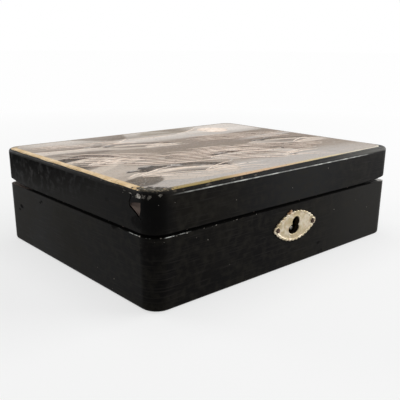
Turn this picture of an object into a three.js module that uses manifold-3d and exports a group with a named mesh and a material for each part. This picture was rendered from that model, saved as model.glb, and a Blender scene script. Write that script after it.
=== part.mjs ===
// Lacquer box: a flat box of black lacquered wood with a hinged lid and a box lock.
// Lengths are millimetres. The box stands on z = 0 with its middle over the origin.
// The front board with the keyhole faces -Y, the hinges are along +Y, and the lid opens upwards.

import * as THREE from 'three';
import { mergeVertices } from 'three/addons/utils/BufferGeometryUtils.js';
import Module from 'manifold-3d';

const wasm = await Module();
wasm.setup();

// Overall box, read at the outside of the lacquer
const boxLength = 220;
const boxDepth = 173;
const boxHeight = 66;
const seamHeight = 42;
const seamGap = 0.5;
const cornerRadius = 10.5;
const topEdgeRadius = 2.4;
const bottomEdgeRadius = 2.0;
const seamEdgeRadius = 0.5;

// Boards and panels
const wall = 9.5;
const bottomThickness = 5;
const bottomRebate = 4.5;
const topThickness = 6;
const tongueDepth = 2;
const tongueGap = 0.3;

// Lip strips glued round the inside of the body, which guide the lid shut
const lipThickness = 2.5;
const lipRise = 4;
const lipBelowSeam = 9;
const lipClearance = 0.5;
const lipTopRadius = 0.9;
const lipLockGap = 0.6;

// Fits that serve several pieces
const turnGap = 0.3;
const cutOverrun = 2;

// Butt hinges
const hingeLength = 28;
const hingeFromEnd = 45;
const hingeInset = 1.5;
const barrelRadius = 2.1;
const barrelClearance = 0.35;
const hingePinRadius = 0.8;
const leafThickness = 1;
const leafMargin = 0.8;
const leafScrewFromEnd = 6;
const knuckleCount = 5;
const stopAngle = 100;

// Countersunk wood screws
const screwHeadRadius = 1.5;
const screwShankRadius = 0.75;
const screwLength = 7;
const screwTipLength = 2;
const screwSlotWidth = 0.5;
const screwSlotDepth = 0.4;
const screwHoleClearance = 0.3;

// Escutcheon, a pointed oval with a scalloped edge
const escutcheonX = 2.3;
const escutcheonLength = 40.6;
const escutcheonHeight = 19.6;
const escutcheonThickness = 1;
const escutcheonFieldDrop = 0.25;
const escutcheonEdgeRise = 0.65;
const scallopDepth = 0.55;
const scallopsPerSide = 14;
const scallopSteps = 5;
const rimOuterShare = 0.965;
const rimInnerShare = 0.9;
const fieldShare = 0.87;

// Escutcheon pins
const pinFromTip = 3.2;
const pinHeadRadius = 1.65;
const pinHeadHeight = 0.9;
const pinShankRadius = 0.55;
const pinShankLength = 5.5;
const pinTipLength = 1.1;
const pinHoleRadius = 0.85;

// Keyhole: a round upper lobe for the key's pipe over a wide lower lobe worn to the left
const keyholeUpperX = 0.3;
const keyholeUpperZ = 2.3;
const keyholeUpperRadius = 3.6;
const keyholeLowerX = -1.4;
const keyholeLowerZ = -1.8;
const keyholeLowerHalfWidth = 5.2;
const keyholeLowerHalfHeight = 3.35;
const keyholeWoodMargin = 0.3;

// Lock plate with its selvedge, and the case that it closes between the escutcheon's pins
const lockPlateThickness = 1.2;
const screwFlange = 5;
const plateBelowCase = 4.2;
const woodBeforeCase = 2.1;
const caseWall = 0.8;
const caseFromPinHole = 0.25;
const keyBitRoom = 6.2;
const lockScrewFromTop = 5;
const lockScrewFromBottom = 3;
const drillPinX = -0.4;
const drillPinZ = -2.1;
const drillPinRadius = 1.2;
const drillPinShort = 0.2;
const drillPinBelowBolt = 4.3;

// Link plate under the lid's front rail, with two staples that drop through the selvedge
const stapleThickness = 1.8;
const stapleSideRoom = 0.5;
const stapleLength = 7.5;
const stapleFoot = 0.8;
const stapleSlotSideGap = 0.5;
const stapleSlotFaceGap = 0.4;

// Sliding bolt with a finger for each staple, carried on two stumps
const boltTravel = 4;
const boltThickness = 1.4;
const boltBarHeight = 4.4;
const boltBelowStaple = 1.4;
const boltEndGap = 0.4;
const boltTail = 1;
const fingerHeight = 2;
const fingerStem = 2.5;
const fingerRestGap = 0.8;
const fingerGap = 0.4;
const stumpRadius = 1;
const stumpShort = 1;
const rightStumpFromStaple = 1;
const talonWidth = 4;
const talonHeight = 2.2;

// Bolt spring, a bowed strip under the bolt's tail
const springRadius = 7;
const springThickness = 0.5;
const springHalfAngle = 35;
const springFromStaple = 3;
const springPostRadius = 0.8;
const springPostInset = 0.7;

// Facets
const cornerSteps = 8;
const edgeSteps = 4;
const roundSteps = 24;
const smallRoundSteps = 12;

// Places on the box, worked out from the sizes above
const halfLength = boxLength / 2;
const halfDepth = boxDepth / 2;
const insideHalfLength = halfLength - wall;
const insideHalfDepth = halfDepth - wall;
const lidBottom = seamHeight + seamGap;
const seamMiddle = seamHeight + seamGap / 2;
const railTop = boxHeight - topThickness;
const hingeY = halfDepth - hingeInset;
const hingeMiddles = [-halfLength + hingeFromEnd, halfLength - hingeFromEnd];
const grooveRadius = barrelRadius + barrelClearance;
const leafReach = wall - hingeInset - leafMargin;
const leafScrewY = hingeY - (leafReach + grooveRadius) / 2;

// Places across the lock, from the escutcheon's pins inwards
const pinFromMiddle = escutcheonLength / 2 - pinFromTip;
const caseHalf = pinFromMiddle - pinHoleRadius - caseFromPinHole;
const lockHalf = caseHalf + screwFlange;
const boltLeft = escutcheonX - caseHalf + caseWall + boltEndGap;
const stumpPlay = stumpRadius + turnGap;
const fingerLength = boltTravel - fingerRestGap + fingerGap;
const fingerToStaple = fingerRestGap + stapleThickness / 2;
const leftStaple = boltLeft + fingerStem + fingerLength + fingerToStaple;
const stapleXs = [leftStaple, 2 * escutcheonX - leftStaple];
const fingerTips = stapleXs.map((x) => x - fingerToStaple);
const stumpXs = [boltLeft + boltTail + stumpPlay + boltTravel, stapleXs[1] - rightStumpFromStaple];

// Depths of the lock, from the board's inner face outwards
const plateBack = -insideHalfDepth;
const plateFront = plateBack - lockPlateThickness;
const caseFront = -halfDepth + woodBeforeCase;
const caseInside = plateFront - caseFront - caseWall;
const boltY = plateFront - caseInside / 2;
const stapleWidth = caseInside - 2 * stapleSideRoom;
const stumpReach = caseInside - stumpShort;

// Heights of the lock, from the seam down through the staples and the bolt to the key
const selvedgeBottom = seamHeight - lockPlateThickness;
const eyeHeight = fingerHeight + 2 * fingerGap;
const eyeWidth = boltThickness + 2 * fingerGap;
const stapleBottom = lidBottom - stapleLength;
const eyeMiddle = stapleBottom + stapleFoot + eyeHeight / 2;
const boltBarTop = stapleBottom - boltBelowStaple;
const boltBarBottom = boltBarTop - boltBarHeight;
const stumpZ = boltBarBottom + boltBarHeight / 2;
const drillPinAxisX = escutcheonX + drillPinX;
const drillPinAxisZ = boltBarBottom - drillPinBelowBolt;
const escutcheonZ = drillPinAxisZ - drillPinZ;
const caseBottom = drillPinAxisZ - keyBitRoom - caseWall;
const plateBottom = caseBottom - plateBelowCase;

const degrees = (angle) => THREE.MathUtils.degToRad(angle);

// Solids

function solidOf(geometry) {
  const plain = geometry.clone();
  plain.deleteAttribute('normal');
  plain.deleteAttribute('uv');
  const merged = mergeVertices(plain);
  const position = merged.getAttribute('position');
  const mesh = new wasm.Mesh({
    numProp: 3,
    vertProperties: new Float32Array(position.array),
    triVerts: new Uint32Array(merged.index.array),
  });
  return new wasm.Manifold(mesh);
}

function geometryOf(solid) {
  const mesh = solid.getMesh();
  const geometry = new THREE.BufferGeometry();
  geometry.setAttribute('position', new THREE.BufferAttribute(mesh.vertProperties, 3));
  geometry.setIndex(new THREE.BufferAttribute(mesh.triVerts, 1));
  geometry.computeVertexNormals();
  return geometry;
}

function block([x0, x1], [y0, y1], [z0, z1]) {
  const geometry = new THREE.BoxGeometry(x1 - x0, y1 - y0, z1 - z0);
  geometry.translate((x0 + x1) / 2, (y0 + y1) / 2, (z0 + z1) / 2);
  return solidOf(geometry);
}

function rodAlongX(radius, [x0, x1], y, z, steps = roundSteps) {
  const geometry = new THREE.CylinderGeometry(radius, radius, x1 - x0, steps);
  geometry.rotateZ(Math.PI / 2);
  geometry.translate((x0 + x1) / 2, y, z);
  return solidOf(geometry);
}

function rodAlongY(radius, [y0, y1], x, z, steps = roundSteps) {
  const geometry = new THREE.CylinderGeometry(radius, radius, y1 - y0, steps);
  geometry.translate(x, (y0 + y1) / 2, z);
  return solidOf(geometry);
}

const shapeOf = (outline) => new THREE.Shape(outline.map(([u, v]) => new THREE.Vector2(u, v)));

// Extrudes an outline drawn in (y, z) along X.
function extrudeAlongX(outline, [x0, x1]) {
  const settings = { depth: x1 - x0, bevelEnabled: false };
  const geometry = new THREE.ExtrudeGeometry(shapeOf(outline), settings);
  const turn = new THREE.Matrix4().makeBasis(
    new THREE.Vector3(0, 1, 0), new THREE.Vector3(0, 0, 1), new THREE.Vector3(1, 0, 0));
  geometry.applyMatrix4(turn);
  geometry.translate(x0, 0, 0);
  return solidOf(geometry);
}

// Extrudes a shape drawn in (x, z) along Y.
function extrudeAlongY(shape, [y0, y1]) {
  const settings = { depth: y1 - y0, bevelEnabled: false, curveSegments: smallRoundSteps };
  const geometry = new THREE.ExtrudeGeometry(shape, settings);
  geometry.rotateX(Math.PI / 2);
  geometry.translate(0, y1, 0);
  return solidOf(geometry);
}

// Joins rings of equal point counts, each a list of Vector3, and closes both ends with a fan.
function loft(rings) {
  const count = rings[0].length;
  const middle = (ring) => {
    const sum = new THREE.Vector3();
    ring.forEach((point) => sum.add(point));
    return sum.divideScalar(ring.length);
  };
  const points = rings.flat();
  const first = points.length;
  points.push(middle(rings[0]), middle(rings[rings.length - 1]));
  const index = [];
  for (let r = 0; r + 1 < rings.length; r += 1) {
    for (let i = 0; i < count; i += 1) {
      const a = r * count + i;
      const b = r * count + (i + 1) % count;
      index.push(a, b, b + count, a, b + count, a + count);
    }
  }
  const last = (rings.length - 1) * count;
  for (let i = 0; i < count; i += 1) {
    const next = (i + 1) % count;
    index.push(first, next, i);
    index.push(first + 1, last + i, last + next);
  }
  const geometry = new THREE.BufferGeometry().setFromPoints(points);
  geometry.setIndex(index);
  return solidOf(geometry);
}

// Box outline and edges

// The outline of the box at one height, drawn in from the outside by an inset.
function boxRing(inset, z) {
  const radius = cornerRadius - inset;
  const corners = [[1, -1], [1, 1], [-1, 1], [-1, -1]];
  const points = [];
  corners.forEach(([sx, sy], quarter) => {
    for (let i = 0; i <= cornerSteps; i += 1) {
      const angle = degrees(-90 + quarter * 90 + (i * 90) / cornerSteps);
      const x = sx * (halfLength - cornerRadius) + radius * Math.cos(angle);
      const y = sy * (halfDepth - cornerRadius) + radius * Math.sin(angle);
      points.push(new THREE.Vector3(x, y, z));
    }
  });
  return points;
}

// The outer block of the body or the lid, with its lower and upper edges rounded.
function outerBlock(low, high, lowRadius, highRadius) {
  const rings = [];
  for (let i = 0; i <= edgeSteps; i += 1) {
    const angle = degrees(90 - (i * 90) / edgeSteps);
    rings.push(boxRing(lowRadius * (1 - Math.cos(angle)), low + lowRadius * (1 - Math.sin(angle))));
  }
  for (let i = 0; i <= edgeSteps; i += 1) {
    const angle = degrees((i * 90) / edgeSteps);
    rings.push(boxRing(highRadius * (1 - Math.cos(angle)), high - highRadius * (1 - Math.sin(angle))));
  }
  return loft(rings);
}

// Screws, pins and their holes

// A turned solid along -Z whose profile is a list of [radius, depth] from its top to its tip.
function turned(profile, steps) {
  const points = profile.map(([radius, depth]) => new THREE.Vector2(radius, -depth)).reverse();
  const geometry = new THREE.LatheGeometry(points, steps);
  geometry.rotateX(Math.PI / 2);
  return solidOf(geometry);
}

function screwProfile(margin) {
  const head = screwHeadRadius + margin;
  const shank = screwShankRadius + margin;
  const neck = screwHeadRadius - screwShankRadius;
  return [[0, 0], [head, 0], [shank, neck], [shank, screwLength - screwTipLength],
    [0, screwLength + margin]];
}

function screwSolid() {
  const slot = block([-screwHeadRadius - cutOverrun, screwHeadRadius + cutOverrun],
    [-screwSlotWidth / 2, screwSlotWidth / 2], [-screwSlotDepth, cutOverrun]);
  return turned(screwProfile(0), smallRoundSteps).subtract(slot);
}

// The hole keeps clear of the screw all round, and opens upwards past the screw's head.
function screwHoleSolid() {
  const head = screwHeadRadius + screwHoleClearance;
  const mouth = block([-head, head], [-head, head], [0, screwHoleClearance]);
  return turned(screwProfile(screwHoleClearance), smallRoundSteps).add(mouth);
}

// Turns a solid made along -Z so that its head faces the given way, and moves it to its place.
const headings = {
  up: [0, 0, 0],
  down: [180, 0, 0],
  front: [90, 0, 0],
  back: [-90, 0, 0],
};
const placed = (solid, heading, place) => solid.rotate(headings[heading]).translate(place);

// Where each screw goes: its name, the way its head faces and the middle of its head
const hingeScrews = (lid) => hingeMiddles.flatMap((middle, side) =>
  [-1, 1].map((end) => ({
    name: `${lid ? 'lid' : 'body'}_hinge_screw_${side ? 'right' : 'left'}_${end > 0 ? 'b' : 'a'}`,
    heading: lid ? 'down' : 'up',
    place: [middle + end * (hingeLength / 2 - leafScrewFromEnd),
      leafScrewY, lid ? lidBottom : seamHeight],
  })));
const bodyHingeScrews = hingeScrews(false);
const lidHingeScrews = hingeScrews(true);
const lockScrews = [-1, 1].flatMap((side) => ['top', 'bottom'].map((row) => ({
  name: `lock_screw_${side > 0 ? 'right' : 'left'}_${row}`,
  heading: 'back',
  place: [escutcheonX + side * (lockHalf - screwFlange / 2), plateBack,
    row === 'top' ? seamHeight - lockScrewFromTop : plateBottom + lockScrewFromBottom],
})));
const linkScrewFromMiddle = (stapleXs[1] + stapleThickness / 2 - escutcheonX + lockHalf) / 2;
const linkScrews = [-1, 1].map((side) => ({
  name: `link_plate_screw_${side > 0 ? 'right' : 'left'}`,
  heading: 'down',
  place: [escutcheonX + side * linkScrewFromMiddle, boltY, lidBottom],
}));
const withScrewHoles = (solid, screws) => screws.reduce(
  (cut, { heading, place }) => cut.subtract(placed(screwHoleSolid(), heading, place)), solid);

// Boards of the body

const bodyBlock = outerBlock(0, seamHeight, bottomEdgeRadius, seamEdgeRadius);
const wholeHeight = [-cutOverrun, boxHeight + cutOverrun];
const wholeLength = [-halfLength - cutOverrun, halfLength + cutOverrun];
const frontSlab = [-halfDepth - cutOverrun, -insideHalfDepth];
const backSlab = [insideHalfDepth, halfDepth + cutOverrun];
const leftSlab = [-halfLength - cutOverrun, -insideHalfLength];
const rightSlab = [insideHalfLength, halfLength + cutOverrun];
const betweenBoards = [-insideHalfDepth, insideHalfDepth];
const panelX = [-insideHalfLength - bottomRebate, insideHalfLength + bottomRebate];
const panelY = [-insideHalfDepth - bottomRebate, insideHalfDepth + bottomRebate];

const bottomPanel = () => block(panelX, panelY, [0, bottomThickness]);
const bottomRebateCut = () => block(panelX, panelY, [-cutOverrun, bottomThickness]);

// The keyhole, with the same outline wherever it passes, widened by a margin.
function keyholeSolid(margin, ySpan) {
  const upper = rodAlongY(keyholeUpperRadius + margin, ySpan,
    escutcheonX + keyholeUpperX, escutcheonZ + keyholeUpperZ);
  const lower = new THREE.CylinderGeometry(1, 1, ySpan[1] - ySpan[0], roundSteps);
  lower.scale(keyholeLowerHalfWidth + margin, 1, keyholeLowerHalfHeight + margin);
  lower.translate(escutcheonX + keyholeLowerX, (ySpan[0] + ySpan[1]) / 2,
    escutcheonZ + keyholeLowerZ);
  return upper.add(solidOf(lower));
}

// The room that the lock takes in the front board: plate, selvedge and case.
function lockMortise() {
  const plateX = [escutcheonX - lockHalf, escutcheonX + lockHalf];
  const plate = block(plateX, [plateFront, plateBack + cutOverrun],
    [plateBottom, seamHeight + cutOverrun]);
  const selvedge = block(plateX, [caseFront, plateBack + cutOverrun],
    [selvedgeBottom, seamHeight + cutOverrun]);
  const box = block([escutcheonX - caseHalf, escutcheonX + caseHalf],
    [caseFront, plateBack + cutOverrun], [caseBottom, seamHeight + cutOverrun]);
  return plate.add(selvedge).add(box);
}

const escutcheonPinXs = [escutcheonX - pinFromMiddle, escutcheonX + pinFromMiddle];

function frontBoard() {
  const board = bodyBlock.intersect(block(wholeLength, frontSlab, wholeHeight))
    .subtract(bottomRebateCut())
    .subtract(lockMortise())
    .subtract(keyholeSolid(keyholeWoodMargin, [-halfDepth - cutOverrun, caseFront + cutOverrun]));
  const pinned = escutcheonPinXs.reduce((cut, x) => cut.subtract(rodAlongY(pinHoleRadius,
    [-halfDepth - cutOverrun, -halfDepth + pinShankLength], x, escutcheonZ, smallRoundSteps)), board);
  return withScrewHoles(pinned, lockScrews);
}

// Wedges that bevel the back edges, so that the bevels meet and stop the open lid.
function stopBevel(side) {
  const reach = hingeInset + cutOverrun;
  const fall = reach * Math.tan(degrees(stopAngle / 2));
  const outline = side > 0
    ? [[hingeY, seamMiddle], [hingeY + reach, seamMiddle], [hingeY + reach, seamMiddle + fall]]
    : [[hingeY, seamMiddle], [hingeY + reach, seamMiddle - fall], [hingeY + reach, seamMiddle]];
  return extrudeAlongX(outline, wholeLength);
}

const hingeSpan = (middle) => [middle - hingeLength / 2, middle + hingeLength / 2];

// The room for the hinges in one board: a groove round each barrel and a seat for each leaf.
function withHingeRoom(board, leafZ) {
  return hingeMiddles.reduce((cut, middle) => {
    const [x0, x1] = hingeSpan(middle);
    const groove = rodAlongX(grooveRadius, [x0 - turnGap, x1 + turnGap], hingeY, seamMiddle);
    return cut.subtract(groove).subtract(block([x0, x1], [hingeY - leafReach, hingeY], leafZ));
  }, board);
}

function backBoard() {
  const board = bodyBlock.intersect(block(wholeLength, backSlab, wholeHeight))
    .subtract(bottomRebateCut())
    .subtract(stopBevel(-1));
  const seat = [seamHeight - leafThickness, seamHeight + cutOverrun];
  return withScrewHoles(withHingeRoom(board, seat), bodyHingeScrews);
}

const sideBoard = (slab) => bodyBlock.intersect(block(slab, betweenBoards, wholeHeight))
  .subtract(bottomRebateCut());

// Lip strips, drawn as a section of [distance from the board, height] with a rounded top.
function lipSection() {
  const top = lidBottom + lipRise;
  const radius = Math.min(lipTopRadius, (lipThickness - lipClearance) / 2);
  const section = [[0, seamHeight - lipBelowSeam], [lipThickness, seamHeight - lipBelowSeam]];
  for (let i = 0; i <= edgeSteps; i += 1) {
    const angle = degrees((i * 90) / edgeSteps);
    section.push([lipThickness - radius + radius * Math.cos(angle),
      top - radius + radius * Math.sin(angle)]);
  }
  for (let i = 0; i <= edgeSteps; i += 1) {
    const angle = degrees(90 + (i * 90) / edgeSteps);
    section.push([lipClearance + radius + radius * Math.cos(angle),
      top - radius + radius * Math.sin(angle)]);
  }
  section.push([lipClearance, seamHeight], [0, seamHeight]);
  return section;
}

function frontLip(xSpan) {
  return extrudeAlongX(lipSection().map(([out, z]) => [-insideHalfDepth + out, z]), xSpan);
}

function sideLip(side) {
  const outline = lipSection().map(([out, z]) => [side * (insideHalfLength - out), z]);
  return extrudeAlongY(shapeOf(outline), [-insideHalfDepth + lipThickness, insideHalfDepth]);
}

// Boards of the lid

const lidBlock = outerBlock(lidBottom, boxHeight, seamEdgeRadius, topEdgeRadius);
const railHeight = [seamHeight, railTop];

function topPanel() {
  const sheet = lidBlock.intersect(block(wholeLength, [frontSlab[0], backSlab[1]],
    [railTop, boxHeight + cutOverrun]));
  const tongueX = insideHalfLength - tongueGap;
  const tongueY = insideHalfDepth - tongueGap;
  return sheet.add(block([-tongueX, tongueX], [-tongueY, tongueY],
    [railTop - tongueDepth, railTop]));
}

const lidRail = (xSpan, ySpan) => lidBlock.intersect(block(xSpan, ySpan, railHeight));

function frontRail() {
  const seat = block([escutcheonX - lockHalf, escutcheonX + lockHalf],
    [caseFront, plateBack + cutOverrun], [seamHeight, lidBottom + lockPlateThickness]);
  return withScrewHoles(lidRail(wholeLength, frontSlab).subtract(seat), linkScrews);
}

function backRail() {
  const seat = [seamHeight, lidBottom + leafThickness];
  return withScrewHoles(withHingeRoom(lidRail(wholeLength, backSlab).subtract(stopBevel(1)),
    seat), lidHingeScrews);
}

// Hinges: knuckles of the two leaves take turns along one barrel, and a pin runs through them

function hingeLeaf(middle, lid) {
  const [x0, x1] = hingeSpan(middle);
  const pitch = hingeLength / knuckleCount;
  const zSpan = lid ? [lidBottom, lidBottom + leafThickness]
    : [seamHeight - leafThickness, seamHeight];
  let leaf = block([x0, x1], [hingeY - leafReach, hingeY - grooveRadius], zSpan);
  for (let i = lid ? 1 : 0; i < knuckleCount; i += 2) {
    const left = x0 + i * pitch + (i > 0 ? turnGap / 2 : 0);
    const right = x0 + (i + 1) * pitch - (i + 1 < knuckleCount ? turnGap / 2 : 0);
    const tab = block([left, right], [hingeY - leafReach, hingeY], zSpan);
    leaf = leaf.add(tab).add(rodAlongX(barrelRadius, [left, right], hingeY, seamMiddle));
  }
  const bore = rodAlongX(hingePinRadius + turnGap, [x0 - cutOverrun, x1 + cutOverrun],
    hingeY, seamMiddle);
  const screws = (lid ? lidHingeScrews : bodyHingeScrews)
    .filter(({ place }) => Math.abs(place[0] - middle) < hingeLength / 2);
  return withScrewHoles(leaf.subtract(bore), screws);
}

const hingePin = (middle) => rodAlongX(hingePinRadius, hingeSpan(middle), hingeY, seamMiddle,
  smallRoundSteps);

// Lock

function lockPlate() {
  const plateX = [escutcheonX - lockHalf, escutcheonX + lockHalf];
  const upright = block(plateX, [plateFront, plateBack], [plateBottom, seamHeight]);
  let plate = upright.add(block(plateX, [caseFront, plateBack], [selvedgeBottom, seamHeight]));
  stapleXs.forEach((x) => {
    const sideways = stapleThickness / 2 + stapleSlotSideGap;
    const across = stapleWidth / 2 + stapleSlotFaceGap;
    plate = plate.subtract(block([x - sideways, x + sideways],
      [boltY - across, boltY + across],
      [selvedgeBottom - cutOverrun, seamHeight + cutOverrun]));
  });
  stumpXs.forEach((x) => {
    plate = plate.add(rodAlongY(stumpRadius, [plateFront - stumpReach, plateFront], x, stumpZ,
      smallRoundSteps));
  });
  springPosts().forEach(([x, z]) => {
    plate = plate.add(rodAlongY(springPostRadius, [plateFront - stumpReach, plateFront], x, z,
      smallRoundSteps));
  });
  return withScrewHoles(plate, lockScrews);
}

// The case is a shallow tray with its open side closed by the plate, and its top by the selvedge.
function lockCase() {
  const caseX = [escutcheonX - caseHalf, escutcheonX + caseHalf];
  const hollow = block([caseX[0] + caseWall, caseX[1] - caseWall],
    [caseFront + caseWall, plateFront + cutOverrun],
    [caseBottom + caseWall, selvedgeBottom + cutOverrun]);
  return block(caseX, [caseFront, plateFront], [caseBottom, selvedgeBottom])
    .subtract(hollow)
    .subtract(keyholeSolid(0, [caseFront - cutOverrun, caseFront + caseWall + cutOverrun]));
}

function lockBolt() {
  const right = stumpXs[1] + stumpPlay + boltTail;
  const ySpan = [boltY - boltThickness / 2, boltY + boltThickness / 2];
  const through = [ySpan[0] - cutOverrun, ySpan[1] + cutOverrun];
  let bolt = block([boltLeft, right], ySpan, [boltBarBottom, boltBarTop]);
  fingerTips.forEach((tip) => {
    const stem = tip - fingerLength;
    const fingerTop = eyeMiddle + fingerHeight / 2;
    const hook = [[stem - fingerStem, boltBarBottom], [stem, boltBarBottom],
      [stem, fingerTop - fingerHeight], [tip, fingerTop - fingerHeight],
      [tip, fingerTop - fingerHeight / 2], [tip - fingerHeight / 2, fingerTop],
      [stem - fingerStem, fingerTop]];
    bolt = bolt.add(extrudeAlongY(shapeOf(hook), ySpan));
  });
  stumpXs.forEach((x) => {
    bolt = bolt.subtract(block([x - boltTravel - stumpPlay, x + stumpPlay], through,
      [stumpZ - stumpPlay, stumpZ + stumpPlay]));
  });
  const talonMiddle = drillPinAxisX - boltTravel / 2;
  return bolt.subtract(block([talonMiddle - talonWidth / 2, talonMiddle + talonWidth / 2],
    through, [boltBarBottom - cutOverrun, boltBarBottom + talonHeight]));
}

const springMiddleX = stapleXs[0] - springFromStaple;
const springMiddleZ = boltBarBottom - turnGap - springRadius;

function boltSpring() {
  const start = degrees(90 - springHalfAngle);
  const end = degrees(90 + springHalfAngle);
  const strip = new THREE.Shape();
  strip.absarc(springMiddleX, springMiddleZ, springRadius, start, end, false);
  strip.absarc(springMiddleX, springMiddleZ, springRadius - springThickness, end, start, true);
  strip.closePath();
  return extrudeAlongY(strip, [boltY - boltThickness / 2, boltY + boltThickness / 2]);
}

// Each end of the spring rests on a post of the lock plate.
function springPosts() {
  const distance = springRadius - springThickness - turnGap - springPostRadius;
  return [-1, 1].map((side) => {
    const angle = degrees(90 - side * springHalfAngle);
    return [springMiddleX + distance * Math.cos(angle) - side * springPostInset,
      springMiddleZ + distance * Math.sin(angle)];
  });
}

const drillPin = () => rodAlongY(drillPinRadius, [caseFront + drillPinShort, plateFront],
  drillPinAxisX, drillPinAxisZ);

function linkPlate() {
  let plate = block([escutcheonX - lockHalf, escutcheonX + lockHalf],
    [caseFront, plateBack], [lidBottom, lidBottom + lockPlateThickness]);
  stapleXs.forEach((x) => {
    const staple = block([x - stapleThickness / 2, x + stapleThickness / 2],
      [boltY - stapleWidth / 2, boltY + stapleWidth / 2], [stapleBottom, lidBottom]);
    const eye = block([x - stapleThickness, x + stapleThickness],
      [boltY - eyeWidth / 2, boltY + eyeWidth / 2],
      [eyeMiddle - eyeHeight / 2, eyeMiddle + eyeHeight / 2]);
    plate = plate.add(staple.subtract(eye));
  });
  return withScrewHoles(plate, linkScrews);
}

// Escutcheon

// Half of the pointed oval is an arc from tip to tip, and scallops swell out of its line.
function escutcheonRing(share, y) {
  const halfWidth = (escutcheonLength / 2) * share;
  const halfHeight = (escutcheonHeight / 2 - scallopDepth) * share;
  const radius = (halfWidth ** 2 + halfHeight ** 2) / (2 * halfHeight);
  const reach = Math.asin(halfWidth / radius);
  const steps = scallopsPerSide * scallopSteps;
  const points = [];
  [1, -1].forEach((side) => {
    for (let i = 0; i < steps; i += 1) {
      const angle = side * reach * (1 - (2 * i) / steps);
      const swell = scallopDepth * share * Math.abs(Math.sin((Math.PI * i) / scallopSteps));
      const x = (radius + swell) * Math.sin(angle);
      const z = side * ((radius + swell) * Math.cos(angle) - radius + halfHeight);
      points.push(new THREE.Vector3(escutcheonX + x, y, escutcheonZ + z));
    }
  });
  return points;
}

function escutcheon() {
  const faceY = -halfDepth;
  const rimY = faceY - escutcheonThickness;
  let plate = loft([
    escutcheonRing(1, faceY),
    escutcheonRing(1, faceY - escutcheonEdgeRise),
    escutcheonRing(rimOuterShare, rimY),
    escutcheonRing(rimInnerShare, rimY),
    escutcheonRing(fieldShare, rimY + escutcheonFieldDrop),
  ]);
  const through = [rimY - cutOverrun, faceY + cutOverrun];
  plate = plate.subtract(keyholeSolid(0, through));
  escutcheonPinXs.forEach((x) => {
    plate = plate.subtract(rodAlongY(pinHoleRadius, through, x, escutcheonZ, smallRoundSteps));
  });
  return plate;
}

// A round-headed pin: its head is a low dome that sits on the plate.
function escutcheonPin(x) {
  const profile = [[0, 0]];
  for (let i = 1; i <= edgeSteps; i += 1) {
    const angle = degrees((i * 90) / edgeSteps);
    profile.push([pinHeadRadius * Math.sin(angle), pinHeadHeight * (1 - Math.cos(angle))]);
  }
  profile.push([pinShankRadius, pinHeadHeight]);
  profile.push([pinShankRadius, pinHeadHeight + pinShankLength - pinTipLength]);
  profile.push([0, pinHeadHeight + pinShankLength]);
  const headTop = -halfDepth - escutcheonThickness - pinHeadHeight;
  return placed(turned(profile, smallRoundSteps), 'front', [x, headTop, escutcheonZ]);
}

// Materials

const finishes = {
  lacquer: { color: 0x1c1a19, roughness: 0.32, metalness: 0 },
  lacquerTop: { color: 0x9c9392, roughness: 0.38, metalness: 0 },
  brass: { color: 0xa98748, roughness: 0.38, metalness: 1 },
  nickelSilver: { color: 0xb9b1a2, roughness: 0.35, metalness: 1 },
  steel: { color: 0x7f7a73, roughness: 0.42, metalness: 1 },
  rustyIron: { color: 0x46332a, roughness: 0.8, metalness: 0.5 },
};

const box = new THREE.Group();
const lid = new THREE.Group();
box.add(lid);

function addPiece(group, name, solid, finish) {
  const piece = new THREE.Mesh(geometryOf(solid), new THREE.MeshStandardMaterial(finishes[finish]));
  piece.name = name;
  group.add(piece);
}

function addBody() {
  const lockSide = lockHalf + lipLockGap;
  addPiece(box, 'body_front_board', frontBoard(), 'lacquer');
  addPiece(box, 'body_back_board', backBoard(), 'lacquer');
  addPiece(box, 'body_left_board', sideBoard(leftSlab), 'lacquer');
  addPiece(box, 'body_right_board', sideBoard(rightSlab), 'lacquer');
  addPiece(box, 'body_bottom_panel', bottomPanel(), 'lacquer');
  addPiece(box, 'lip_front_left', frontLip([-insideHalfLength, escutcheonX - lockSide]), 'lacquer');
  addPiece(box, 'lip_front_right', frontLip([escutcheonX + lockSide, insideHalfLength]), 'lacquer');
  addPiece(box, 'lip_left', sideLip(-1), 'lacquer');
  addPiece(box, 'lip_right', sideLip(1), 'lacquer');
}

function addLid() {
  addPiece(lid, 'lid_top_panel', topPanel(), 'lacquerTop');
  addPiece(lid, 'lid_front_rail', frontRail(), 'lacquer');
  addPiece(lid, 'lid_back_rail', backRail(), 'lacquer');
  addPiece(lid, 'lid_left_rail', lidRail(leftSlab, betweenBoards), 'lacquer');
  addPiece(lid, 'lid_right_rail', lidRail(rightSlab, betweenBoards), 'lacquer');
}

function addHinges() {
  hingeMiddles.forEach((middle, side) => {
    const end = side ? 'right' : 'left';
    addPiece(box, `hinge_${end}_body_leaf`, hingeLeaf(middle, false), 'brass');
    addPiece(lid, `hinge_${end}_lid_leaf`, hingeLeaf(middle, true), 'brass');
    addPiece(box, `hinge_${end}_pin`, hingePin(middle), 'steel');
  });
}

function addLock() {
  addPiece(box, 'lock_plate', lockPlate(), 'brass');
  addPiece(box, 'lock_case', lockCase(), 'brass');
  addPiece(box, 'lock_bolt', lockBolt(), 'steel');
  addPiece(box, 'lock_bolt_spring', boltSpring(), 'steel');
  addPiece(box, 'lock_drill_pin', drillPin(), 'steel');
  addPiece(lid, 'link_plate', linkPlate(), 'brass');
  addPiece(box, 'escutcheon', escutcheon(), 'nickelSilver');
  escutcheonPinXs.forEach((x, side) => {
    addPiece(box, `escutcheon_pin_${side ? 'right' : 'left'}`, escutcheonPin(x), 'rustyIron');
  });
}

function addScrews(group, screws, finish) {
  screws.forEach(({ name, heading, place }) => {
    addPiece(group, name, placed(screwSolid(), heading, place), finish);
  });
}

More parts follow.
